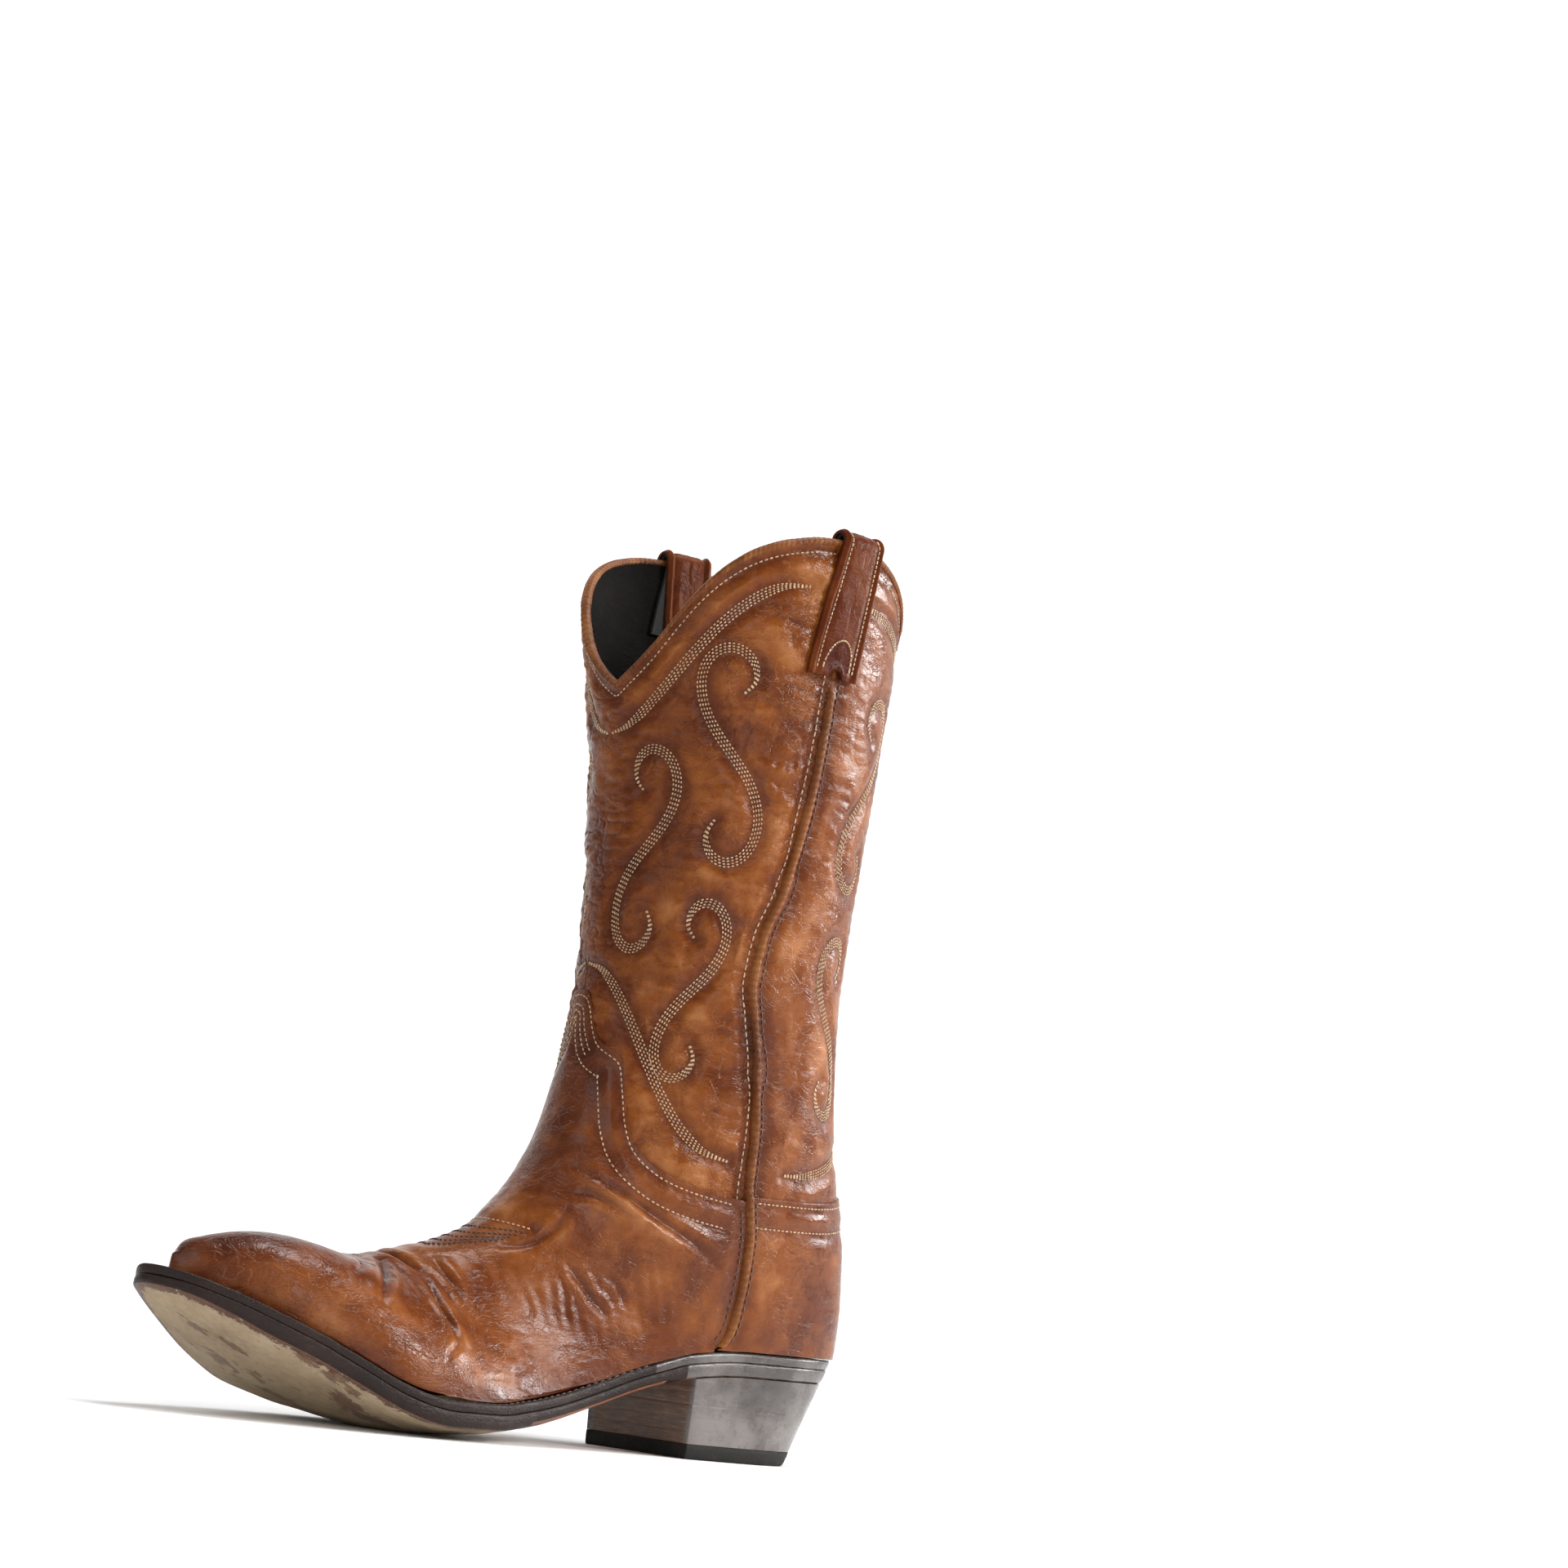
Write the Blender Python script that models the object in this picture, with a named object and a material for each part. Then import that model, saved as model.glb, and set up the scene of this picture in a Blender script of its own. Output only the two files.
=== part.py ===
"""Cowboy boot for the right foot: metres, +Z up, toe towards -Y, inner side of the foot at +X.

Shapes are worked out in millimetres in the boot's own layout: x towards the inner side, f forwards from the back
of the heel, z up from the ground. Every upper piece is a shell a few tenths of a millimetre from its neighbours,
laid on one master surface that is swept through the stations below.
"""

import math

import bmesh
import bpy
import numpy as np
from mathutils import Vector

MM = 0.001
GAP = 0.3  # between pieces that touch
ORIGIN_X, ORIGIN_F = 0.0, 147.69  # the middle of the boot's box, in the layout

# The sole, in millimetres: (f, height of the outsole's lower face above the ground, along its middle).
SOLE_LINE = (
    (-4, 31.0), (55, 30.6), (80, 28.4), (100, 22.0), (120, 13.6), (140, 6.4), (158, 2.0), (174, 0.0),
    (192, 0.0), (212, 2.8), (232, 9.2), (252, 17.6), (272, 27.4), (290, 36.0), (306, 42.0),
)
# (f, how much higher the sole's edges are than its middle)
CROWN = ((90, 0.0), (125, 2.5), (165, 4.5), (240, 4.5), (280, 2.0), (306, 0.0))
# (f, middle x of the sole, half width)
SOLE_MIDDLE = ((0, -1, 30), (90, -1, 31), (120, -3, 33), (150, -4.5, 42), (195, -1.5, 50), (225, 0.5, 44),
               (250, 2, 36), (270, 3.5, 26), (290, 4, 18))
OUTSOLE_THICK = 5.2
WELT_THICK = 3.5
FEATHER_RISE = OUTSOLE_THICK + WELT_THICK + 2 * GAP  # the upper stands this far above the outsole's lower face
INSOLE_THICK = 2.6
# (f, how far the sole's edge stands outside the upper)
OVERHANG = ((0, 1.2), (70, 1.2), (100, 2.0), (150, 4.4), (240, 5.0), (262, 5.8), (275, 9.0), (282, 14.3))

# Joints, in the layout.
BALL = (200.0, 13.0)  # f and z of the line that the sole bends about
ANKLE = (75.0, 100.0)  # f and z of the line that the shaft leans about
TOE_DOWN, TOE_UP = math.radians(5), math.radians(25)
LEAN_BACK, LEAN_FORWARD = math.radians(10), math.radians(15)

# The master surface. Rings go round the shaft and down to the heel seat; arches go over the foot.
# A ring: centre (f, z), front (f, z), back (f, z), half width, front and back fullness, f of the side seam.
RINGS = (
    ((80, 347), (144, 347), (12, 347), 54.0, 2.1, 2.2, 66.0),
    ((78, 300), (135, 300), (14, 300), 51.5, 2.1, 2.2, 68.0),
    ((75, 250), (125, 250), (16.5, 250), 47.5, 2.1, 2.2, 71.0),
    ((74, 205), (121, 205), (18.5, 205), 43.5, 2.1, 2.2, 78.0),
    ((74, 170), (121, 172), (19, 170), 41.0, 2.1, 2.2, 82.0),
    ((74, 140), (123, 146), (16.5, 140), 39.0, 2.1, 2.3, 76.0),
    ((74, 116), (127, 124), (12.5, 116), 37.5, 2.1, 2.4, 73.0),
    ((74.5, 96), (133, 107), (8, 98), 36.0, 2.1, 2.5, 72.0),
    ((75, 78), (142, 92.5), (4, 78), 34.5, 2.1, 2.6, 67.0),
    ((75, 58), (152, 80.5), (1.8, 58), 32.5, 2.1, 2.8, 67.5),
    ((75, 39.6), (163, 71.5), (1.8, 40.3), 30.0, 2.1, 2.9, 74.0),
)
# An arch: f of its feet on the welt, top (f, z), inner and outer half width, fullness.
ARCHES = (
    (95, (174, 66.0), 29.0, 31.5, 2.1),
    (115, (186, 61.5), 28.5, 34.5, 2.1),
    (135, (197, 58.0), 30.5, 39.0, 2.1),
    (155, (208, 56.3), 35.5, 44.0, 2.1),
    (175, (218, 56.5), 41.0, 47.5, 2.1),
    (194, (229, 58.0), 44.0, 47.5, 2.1),
    (211, (240, 59.5), 43.0, 44.0, 2.1),
    (228, (250, 60.0), 38.5, 37.0, 2.2),
    (245, (260, 59.3), 32.0, 27.5, 2.3),
    (259, (267, 58.0), 24.5, 18.5, 2.4),
    (269, (273, 56.4), 18.0, 10.5, 2.4),
    (276.5, (278.5, 54.8), 13.0, 5.0, 2.3),
    (281.5, (281.5, 51.2), 7.5, -0.5, 2.2),
)
LAST_RING = len(RINGS) - 1
LAST_ARCH = LAST_RING + len(ARCHES)

# Edges, as (degrees round from the front centre, height above the ground).
TOP_EDGE = ((0, 273), (12, 280), (22, 287.5), (32, 297.5), (41, 307), (51, 316), (62, 323.5), (73, 328.5),
            (88, 332.5), (98, 333.5), (108, 332), (125, 325.5), (145, 313), (165, 299.5), (180, 291))
VAMP_EDGE = ((0, 164), (7, 162), (13, 156), (20, 145), (29, 139), (33, 129), (52, 113), (71, 100), (98, 94))
COUNTER_EDGE = ((90, 94), (120, 96), (180, 103))
TUCK = 9.0  # how far a shaft panel runs on under the vamp or the counter

# Layers, as (outer, inner) distance from the master surface.
SKIN = (1.7, 0.3)
PANEL = (0.0, -1.4)
LINING = (-1.9, -2.8)
SEAM_CLEAR = 2.0  # a shell stops this far from the middle of a side seam
FRONT_COLUMNS, BACK_COLUMNS = 23, 19

COLOURS = {
    "leather": ((0.33, 0.105, 0.025), 0.35),
    "strap_leather": ((0.20, 0.05, 0.014), 0.4),
    "lining_leather": ((0.10, 0.065, 0.04), 0.8),
    "binding": ((0.25, 0.075, 0.02), 0.45),
    "edge_leather": ((0.035, 0.018, 0.012), 0.4),
    "sole_leather": ((0.42, 0.27, 0.14), 0.7),
    "stacked_leather": ((0.05, 0.026, 0.018), 0.3),
    "rubber": ((0.012, 0.011, 0.011), 0.6),
    "cork": ((0.35, 0.2, 0.1), 0.9),
    "webbing": ((0.012, 0.011, 0.011), 0.85),
    "wood": ((0.5, 0.33, 0.16), 0.7),
    "steel": ((0.5, 0.5, 0.5), 0.35),
}


def smooth_line(points, at):
    """A curve through the points that doesn't overshoot them."""
    x = np.array([p[0] for p in points], float)
    y = np.array([p[1] for p in points], float)
    step = np.diff(x)
    slope = np.diff(y) / step
    tangent = np.empty(len(x))
    tangent[0], tangent[-1] = slope[0], slope[-1]
    before, after = slope[:-1], slope[1:]
    same = before * after > 0
    tangent[1:-1] = np.where(same, 2 * before * after / np.where(same, before + after, 1), 0)
    at = np.clip(np.asarray(at, float), x[0], x[-1])
    i = np.clip(np.searchsorted(x, at, side="right") - 1, 0, len(step) - 1)
    u = (at - x[i]) / step[i]
    return (
        y[i] * (1 + 2 * u) * (1 - u) ** 2
        + y[i + 1] * u * u * (3 - 2 * u)
        + step[i] * (tangent[i] * u * (1 - u) ** 2 - tangent[i + 1] * u * u * (1 - u))
    )


def sole_height(f, x=None):
    """Height of the outsole's lower face; without x, along its edge."""
    edge = smooth_line(CROWN, f)
    if x is None:
        return smooth_line(SOLE_LINE, f) + edge
    middle = smooth_line([row[:2] for row in SOLE_MIDDLE], f)
    half = smooth_line([(row[0], row[2]) for row in SOLE_MIDDLE], f)
    return smooth_line(SOLE_LINE, f) + edge * np.minimum(((x - middle) / half) ** 2, 1.0)


def feather_height(f, x=None):
    """Height of the welt's upper face, which the upper stands on."""
    return sole_height(f, x) + FEATHER_RISE


def station_table():
    """One row for each ring and arch: centre, front and back points, middle x, half width, fullness, seam f."""
    rows = []
    for centre, front, back, half, full_front, full_back, seam in RINGS:
        rows.append((*centre, *front, *back, 0.0, half, full_front, full_back, seam))
    for f, top, inner, outer, full in ARCHES:
        foot = (f, float(feather_height(f)))
        rows.append((*foot, *top, *RINGS[-1][2], (inner - outer) / 2, (inner + outer) / 2, full, 2.9, f))
    return np.array(rows, float)


STATIONS = station_table()


def station(t):
    """The rows of the table between whole numbers, on a Catmull-Rom curve."""
    t = np.clip(np.asarray(t, float), 0, LAST_ARCH)
    i = np.clip(np.floor(t).astype(int), 0, LAST_ARCH - 1)
    u = (t - i)[..., None]
    padded = np.vstack([2 * STATIONS[:1] - STATIONS[1:2], STATIONS, 2 * STATIONS[-1:] - STATIONS[-2:-1]])
    a, b, c, d = (padded[i + k] for k in range(4))
    return 0.5 * (2 * b + (c - a) * u + (2 * a - 5 * b + 4 * c - d) * u**2 + (3 * b - a - 3 * c + d) * u**3)


def power(value, exponent):
    return np.sign(value) * np.abs(value) ** exponent


def master(t, angle):
    """Points (x, f, z) of the master surface; angle is in degrees from the front centre towards the inner side."""
    t, angle = np.broadcast_arrays(np.asarray(t, float), np.asarray(angle, float))
    row = station(t)
    turn = np.radians(angle)
    along, across = np.cos(turn), np.sin(turn)
    fullness = np.where(along >= 0, row[..., 8], row[..., 9])
    reach = np.abs(along) ** (2 / fullness)
    front = along >= 0
    f = row[..., 0] + reach * np.where(front, row[..., 2] - row[..., 0], row[..., 4] - row[..., 0])
    z = row[..., 1] + reach * np.where(front, row[..., 3] - row[..., 1], row[..., 5] - row[..., 1])
    x = row[..., 6] + row[..., 7] * power(across, 2 / fullness)
    return np.stack([x, f, z], -1)


def offset(t, angle, distance):
    """Points at a distance outside the master surface."""
    t, angle = np.broadcast_arrays(np.asarray(t, float), np.asarray(angle, float))
    small_t, small_angle = 0.02, 0.5
    by_t = master(np.minimum(t + small_t, LAST_ARCH), angle) - master(np.maximum(t - small_t, 0), angle)
    by_angle = master(t, angle + small_angle) - master(t, angle - small_angle)
    normal = np.cross(by_t, by_angle)
    normal /= np.linalg.norm(normal, axis=-1, keepdims=True) + 1e-12
    point = master(t, angle)
    row = station(t)
    centre = np.stack([row[..., 6], row[..., 0], row[..., 1]], -1)
    normal *= np.sign(np.sum(normal * (point - centre), -1, keepdims=True) + 1e-9)
    return point + normal * np.asarray(distance, float)[..., None]


def solve_t(angle, test, low, high):
    """The t in each column where test(points) changes from positive to negative."""
    low = np.full(np.shape(angle), float(low))
    high = np.full(np.shape(angle), float(high))
    for _ in range(30):
        middle = (low + high) / 2
        inside = test(master(middle, angle)) > 0
        low, high = np.where(inside, middle, low), np.where(inside, high, middle)
    return (low + high) / 2


def fold(angle):
    """Degrees from the front centre, 0 to 180, whichever side."""
    return np.abs((np.asarray(angle, float) + 180) % 360 - 180)


def seam_angle(t):
    """Degrees round to the side seam at t; 90 once the surface opens into arches."""
    row = station(np.minimum(t, LAST_RING))
    along = row[..., 10] - row[..., 0]
    reach = np.where(along >= 0, row[..., 2] - row[..., 0], row[..., 0] - row[..., 4])
    fullness = np.where(along >= 0, row[..., 8], row[..., 9])
    cosine = power(np.clip(along / reach, -1, 1), fullness / 2)
    return np.where(np.asarray(t) >= LAST_RING, 90.0, np.degrees(np.arccos(cosine)))


def level(edge, drop=0.0):
    """t along the surface at the height that an edge curve gives, less drop."""
    def find(angle):
        height = smooth_line(edge, fold(angle)) - drop
        return solve_t(angle, lambda p: p[..., 2] - height, 0, LAST_ARCH if edge is VAMP_EDGE else LAST_RING)
    return find


def plane(f, z, slope, low=0.0, high=LAST_ARCH):
    """t where the surface meets a plane through (f, z), leaning forwards by slope for each millimetre up."""
    def find(angle):
        return solve_t(angle, lambda p: f + slope * (p[..., 2] - z) - p[..., 1], low, high)
    return find


def at(t):
    return lambda angle: np.full(np.shape(angle), float(t))


def patch(side_from, side_to, t_from, t_to, rows, columns, row_ease=1.0):
    """t and angle over a patch: rows from t_from to t_to, columns from side_from to side_to."""
    u = np.linspace(0, 1, columns)[None, :]
    v = np.linspace(0, 1, rows)[:, None] ** row_ease
    t = np.full((rows, columns), 3.0)
    angle = None
    for _ in range(8):
        angle = side_from(t) + (side_to(t) - side_from(t)) * u
        t = t_from(angle) + (t_to(angle) - t_from(angle)) * v
    return t, angle


def seam_clear(t):
    """Degrees that SEAM_CLEAR takes up beside the seam."""
    t = np.minimum(np.asarray(t, float), LAST_RING)
    centre = seam_angle(np.minimum(t, LAST_RING - 0.01))
    around = master(t, centre + 0.5) - master(t, centre - 0.5)
    return SEAM_CLEAR / np.linalg.norm(around, axis=-1)


def front_side(sign):
    """The side edge of a front piece, just in front of the seam."""
    return lambda t: sign * (seam_angle(t) - np.where(np.asarray(t) >= LAST_RING, 0, seam_clear(t)))


def back_side(sign):
    """The side edge of a back piece, just behind the seam; the outer side counts on past 180 degrees."""
    return lambda t: 180 - sign * (180 - seam_angle(np.minimum(t, LAST_RING - 0.01)) - seam_clear(t))


def lean(f):
    """How much the worn forefoot tips up on its inner side, as rise over width."""
    u = np.clip((f - 203.0) / 42.0, 0, 1)
    return 0.10 * u * u * (3 - 2 * u)


def to_world(points, body):
    """Layout millimetres to metres, from the body's own origin."""
    points = np.array(points, float)
    points[..., 2] += lean(points[..., 1]) * (points[..., 0] - 3.0)
    world = np.stack([points[..., 0] - ORIGIN_X, ORIGIN_F - points[..., 1], points[..., 2]], -1) * MM
    return world - np.array(PIVOTS[body])


def pivot_of(f, z):
    return (0.0, (ORIGIN_F - f) * MM, z * MM)


PIVOTS = {"foot": (0.0, 0.0, 0.0), "forefoot": pivot_of(*BALL), "shaft": pivot_of(*ANKLE)}


def clear_scene():
    for obj in list(bpy.data.objects):
        bpy.data.objects.remove(obj, do_unlink=True)


def make_material(name):
    colour, roughness = COLOURS[name]
    material = bpy.data.materials.new(name)
    material.use_nodes = True
    shader = material.node_tree.nodes["Principled BSDF"]
    shader.inputs["Base Color"].default_value = (*colour, 1)
    shader.inputs["Roughness"].default_value = roughness
    shader.inputs["Metallic"].default_value = 1.0 if name == "steel" else 0.0
    material.diffuse_color = (*colour, 1)
    return material


def add_solid(name, body, material, points, faces):
    """One closed mesh, welded and facing out, parented to its body's empty."""
    mesh = bpy.data.meshes.new(name)
    build = bmesh.new()
    verts = [build.verts.new(p) for p in to_world(points, body)]
    for face in faces:
        corners = [verts[i] for i in face]
        if len(set(corners)) > 2:
            build.faces.new(corners)
    bmesh.ops.remove_doubles(build, verts=build.verts, dist=2e-6)
    bmesh.ops.dissolve_degenerate(build, dist=1e-6, edges=build.edges)
    bmesh.ops.recalc_face_normals(build, faces=build.faces)
    build.to_mesh(mesh)
    build.free()
    mesh.shade_smooth()
    mesh.set_sharp_from_angle(angle=math.radians(40))
    obj = bpy.data.objects.new(name, mesh)
    obj.data.materials.append(MATERIALS[material])
    bpy.context.scene.collection.objects.link(obj)
    obj.parent = EMPTIES[body]
    return obj


def grid_faces(rows, columns, start=0, flip=False, wrap=False):
    faces = []
    for i in range(rows - 1):
        for j in range(columns if wrap else columns - 1):
            k = (j + 1) % columns
            a, b = start + i * columns + j, start + i * columns + k
            c, d = start + (i + 1) * columns + k, start + (i + 1) * columns + j
            faces.append((a, d, c, b) if flip else (a, b, c, d))
    return faces


def slab(name, body, material, outer, inner, wrap=False, open_end=True):
    """A closed solid between two grids of points; open_end is False where the last row closes on itself."""
    rows, columns = outer.shape[:2]
    count = rows * columns
    points = np.concatenate([outer.reshape(-1, 3), inner.reshape(-1, 3)])
    faces = grid_faces(rows, columns, wrap=wrap) + grid_faces(rows, columns, count, True, wrap)
    last = columns if wrap else columns - 1
    for row in [0] + ([rows - 1] if open_end else []):
        for j in range(last):
            a, b = row * columns + j, row * columns + (j + 1) % columns
            faces.append((b, a, a + count, b + count) if row == 0 else (a, b, b + count, a + count))
    if not wrap:
        for i in range(rows - 1):
            for j, flip in ((0, True), (columns - 1, False)):
                a, b = i * columns + j, (i + 1) * columns + j
                faces.append((a, b, b + count, a + count) if flip else (b, a, a + count, b + count))
    return add_solid(name, body, material, points, faces)


def shell(name, body, material, layer, t, angle, wrap=False, closed_tip=False):
    """A leather shell over a patch. closed_tip brings its last row together on the middle line at the toe."""
    sides = []
    for distance in layer:
        points = offset(t, angle, np.full(t.shape, distance))
        floor = feather_height(points[..., 1]) + 0.05
        points[..., 2] = np.maximum(points[..., 2], floor)
        if closed_tip:
            points[-1, :, 0] = STATIONS[-1, 6]
            points[-1, :, 1] = STATIONS[-1, 0] + 1.6 + distance
            rise = np.abs(np.cos(np.radians(angle[-1])))
            nose = feather_height(points[-1, :, 1]) + 0.05
            points[-1, :, 2] = nose + (STATIONS[-1, 3] - 2 + distance - nose) * rise
        sides.append(points)
    return slab(name, body, material, sides[0], sides[1], wrap, not closed_tip)


def feather_outline(out=0.0, columns=64):
    """The upper's foot line seen from above, from the back of the heel round the inner side to the toe and back."""
    back = master(LAST_RING, 180 - 90 * np.linspace(0, 1, 15) ** 1.0)[:, :2]
    t = LAST_RING + (LAST_ARCH - LAST_RING) * (1 - (1 - np.linspace(0, 1, 34)[1:]) ** 1.6)
    inner = np.vstack([back, master(t, 90.0)[:, :2]])
    outer = np.vstack([master(LAST_RING, -180 + 90 * np.linspace(0, 1, 15))[:, :2], master(t, -90.0)[:, :2]])
    loop = np.vstack([inner, outer[::-1][:-1]])
    step = np.roll(loop, -1, 0) - np.roll(loop, 1, 0)
    normal = np.stack([step[:, 1], -step[:, 0]], -1)
    normal /= np.linalg.norm(normal, axis=1, keepdims=True)
    if np.sum(normal[:, 0] * (loop[:, 0] - loop[:, 0].mean())) < 0:
        normal = -normal
    amount = out(loop[:, 1]) if callable(out) else np.full(len(loop), float(out))
    moved = loop + normal * amount[:, None]
    half = len(inner)
    return moved[:half], np.vstack([moved[half - 1:], moved[:1]])[::-1]


def overhang(f):
    return smooth_line(OVERHANG, f)


def side_x(line, f):
    """x of an outline's side where it reaches f."""
    order = np.argsort(line[:, 1])
    return np.interp(f, line[order, 1], line[order, 0])


def spaced(start, stop, count, ease_start=False, ease_stop=False):
    """Values from start to stop, crowded towards an end that closes in a round."""
    u = np.linspace(0, 1, count)
    if ease_start and ease_stop:
        u = (1 - np.cos(math.pi * u)) / 2
    elif ease_start:
        u = 1 - np.cos(math.pi * u / 2)
    elif ease_stop:
        u = np.sin(math.pi * u / 2)
    return start + (stop - start) * u


def plate(name, body, material, outline, f_values, low, high, columns=7):
    """A flat piece between two height curves, inside an outline seen from above."""
    inner, outer = outline
    f = np.asarray(f_values, float)
    x_inner, x_outer = side_x(inner, f), side_x(outer, f)
    tight = x_inner - x_outer < 0.6
    middle = (x_inner + x_outer) / 2
    x_inner, x_outer = np.where(tight, middle + 0.3, x_inner), np.where(tight, middle - 0.3, x_outer)
    u = (1 - np.cos(math.pi * np.linspace(0, 1, columns)))[None, :] / 2
    x = x_inner[:, None] * u + x_outer[:, None] * (1 - u)
    deep = np.broadcast_to(f[:, None], x.shape)
    top = np.stack([x, deep, high(deep, x)], -1)
    bottom = np.stack([x, deep, low(deep, x)], -1)
    return slab(name, body, material, top, bottom)


def strip(name, body, material, outer_line, inner_line, low, high):
    """A band between two lines seen from above, such as a welt."""
    def ring(line, height):
        return np.stack([line[:, 0], line[:, 1], height(line[:, 1], line[:, 0])], -1)
    top = np.stack([ring(outer_line, high), ring(inner_line, high)], 1)
    bottom = np.stack([ring(outer_line, low), ring(inner_line, low)], 1)
    return slab(name, body, material, top, bottom)


def trimmed(line, f_from, f_to):
    """The part of an outline's side between two f values, with points exactly at its ends."""
    keep = (line[:, 1] > f_from + 0.5) & (line[:, 1] < f_to - 0.5)
    points = line[keep]
    ends = []
    for f in (f_from, f_to):
        if line[:, 1].min() < f < line[:, 1].max():
            ends.append(np.array([[side_x(line, f), f]]))
        else:
            ends.append(np.empty((0, 2)))
    first, last = (ends[0], ends[1]) if points[0, 1] < points[-1, 1] else (ends[1], ends[0])
    return np.vstack([first, points, last])


def resampled(line, count):
    """The same line with evenly spaced points."""
    lengths = np.concatenate([[0], np.cumsum(np.linalg.norm(np.diff(line, axis=0), axis=1))])
    even = np.linspace(0, lengths[-1], count)
    return np.stack([np.interp(even, lengths, line[:, k]) for k in range(2)], -1)


# --- the sole ------------------------------------------------------------------------------------------------------

BREAST_F = 80.0  # the heel's front face
OUTSOLE_SPLIT = (199.85, 201.5)
WELT_SPLIT = (199.85, 201.0)
INSOLE_SPLIT = (199.1, 201.8)
RAND_END_F = 97.0
WELT_INSET = 7.0


def add_outsole():
    outline = feather_outline(overhang)
    back = outline[0][:, 1].min() + 0.05
    tip = outline[0][:, 1].max() - 0.05
    def high(f, x):
        return sole_height(f, x) + OUTSOLE_THICK
    rear = np.concatenate([spaced(back, 40, 9, ease_start=True), np.linspace(40, OUTSOLE_SPLIT[0], 14)[1:]])
    front = spaced(OUTSOLE_SPLIT[1], tip, 15, ease_stop=True)
    plate("outsole_rear", "foot", "sole_leather", outline, rear, sole_height, high)
    plate("outsole_front", "forefoot", "sole_leather", outline, front, sole_height, high)


def add_welts():
    outer_inner, outer_outer = feather_outline(overhang)
    inset_inner, inset_outer = feather_outline(-WELT_INSET)
    def low(f, x):
        return sole_height(f, x) + OUTSOLE_THICK + GAP + 0.25
    def high(f, x):
        return sole_height(f, x) + OUTSOLE_THICK + GAP + WELT_THICK
    sides = (("medial_welt", outer_inner, inset_inner), ("lateral_welt", outer_outer, inset_outer))
    for name, outside, inside in sides:
        pair = [resampled(trimmed(line, RAND_END_F + GAP, WELT_SPLIT[0]), 13) for line in (outside, inside)]
        strip(name, "foot", "edge_leather", pair[0], pair[1], low, high)
    loops = []
    for first, second in ((outer_inner, outer_outer), (inset_inner, inset_outer)):
        there = trimmed(first, WELT_SPLIT[1], 400)
        back = trimmed(second, WELT_SPLIT[1], 400)[::-1]
        loops.append(resampled(np.vstack([there, back[1:]]), 35))
    strip("toe_welt", "forefoot", "edge_leather", loops[0], loops[1], low, high)
    loops = []
    for first, second in ((outer_outer, outer_inner), (inset_outer, inset_inner)):
        there = trimmed(first, -50, RAND_END_F)[::-1]
        back = trimmed(second, -50, RAND_END_F)
        loops.append(resampled(np.vstack([there, back[1:]]), 29))
    strip("heel_rand", "foot", "edge_leather", loops[0], loops[1], low, high)


def add_insoles():
    outline = feather_outline(-3.7)
    back = outline[0][:, 1].min() + 0.05
    tip = outline[0][:, 1].max() - 3
    def low(f, x):
        return feather_height(f, x) + 0.5
    def high(f, x):
        return feather_height(f, x) + 0.5 + INSOLE_THICK
    rear = np.concatenate([spaced(back, 40, 7, ease_start=True), np.linspace(40, INSOLE_SPLIT[0], 11)[1:]])
    plate("insole_rear", "foot", "sole_leather", outline, rear, low, high, 5)
    front = spaced(INSOLE_SPLIT[1], tip, 10, ease_stop=True)
    plate("insole_front", "forefoot", "sole_leather", outline, front, low, high, 5)
    sock = feather_outline(-5.0)
    def sock_low(f, x):
        return high(f, x) + 0.4
    def sock_high(f, x):
        return high(f, x) + 1.6
    sock_f = np.concatenate([spaced(sock[0][:, 1].min() + 0.1, 40, 6, ease_start=True), rear[7:14]])
    plate("heel_sock", "foot", "lining_leather", sock, sock_f, sock_low, sock_high, 4)


def add_fillers():
    outline = feather_outline(-WELT_INSET - 0.5)
    def low(f, x):
        return sole_height(f, x) + OUTSOLE_THICK + 3 * GAP
    def high(f, x):
        return sole_height(f, x) + OUTSOLE_THICK + GAP + WELT_THICK - 0.2
    tip = outline[0][:, 1].max() - 4
    plate("cork_filler_rear", "foot", "cork", outline, np.linspace(152, WELT_SPLIT[0], 8), low, high, 5)
    front = spaced(WELT_SPLIT[1], tip, 9, ease_stop=True)
    plate("cork_filler_front", "forefoot", "cork", outline, front, low, high, 5)
    f = np.linspace(34, 150, 12)
    width = 7.5
    band = (np.stack([np.full(12, width), f], -1), np.stack([np.full(12, -width), f], -1))
    def shank_low(f, x):
        return low(f, x) + 0.6
    def shank_high(f, x):
        return low(f, x) + 2.1
    plate("shank", "foot", "steel", band, f, shank_low, shank_high, 2)


# --- the heel ------------------------------------------------------------------------------------------------------

HEEL_CAP_THICK = 5.4
LIFTS = 5
HEEL_NARROWING, HEEL_UNDERCUT = 0.05, 0.185  # share of the half width and of the length lost at the ground
HEEL_TOP = float(sole_height(40.0))
NAIL_RADIUS = 1.1
NAIL_PLACES = ((1.3, 27.3), (13.4, 61.1), (-12.6, 61.1))


def heel_section(z, front=BREAST_F, count=8):
    """The heel's outline at a height: rows of (outer x, inner x, f) from back to front."""
    inner, outer = feather_outline(1.2)
    down = 1 - min(z / HEEL_TOP, 1.0)
    back = inner[:, 1].min() + 0.05
    f = np.concatenate([spaced(back, 32, count, ease_start=True), [48, 64, front]])
    x_inner = side_x(inner, f) * (1 - HEEL_NARROWING * down)
    x_outer = side_x(outer, f) * (1 - HEEL_NARROWING * down)
    moved = front - (front - f) * (1 - HEEL_UNDERCUT * down)
    x_inner = np.maximum(x_inner, x_outer + 0.6)
    return x_inner, x_outer, moved


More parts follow.
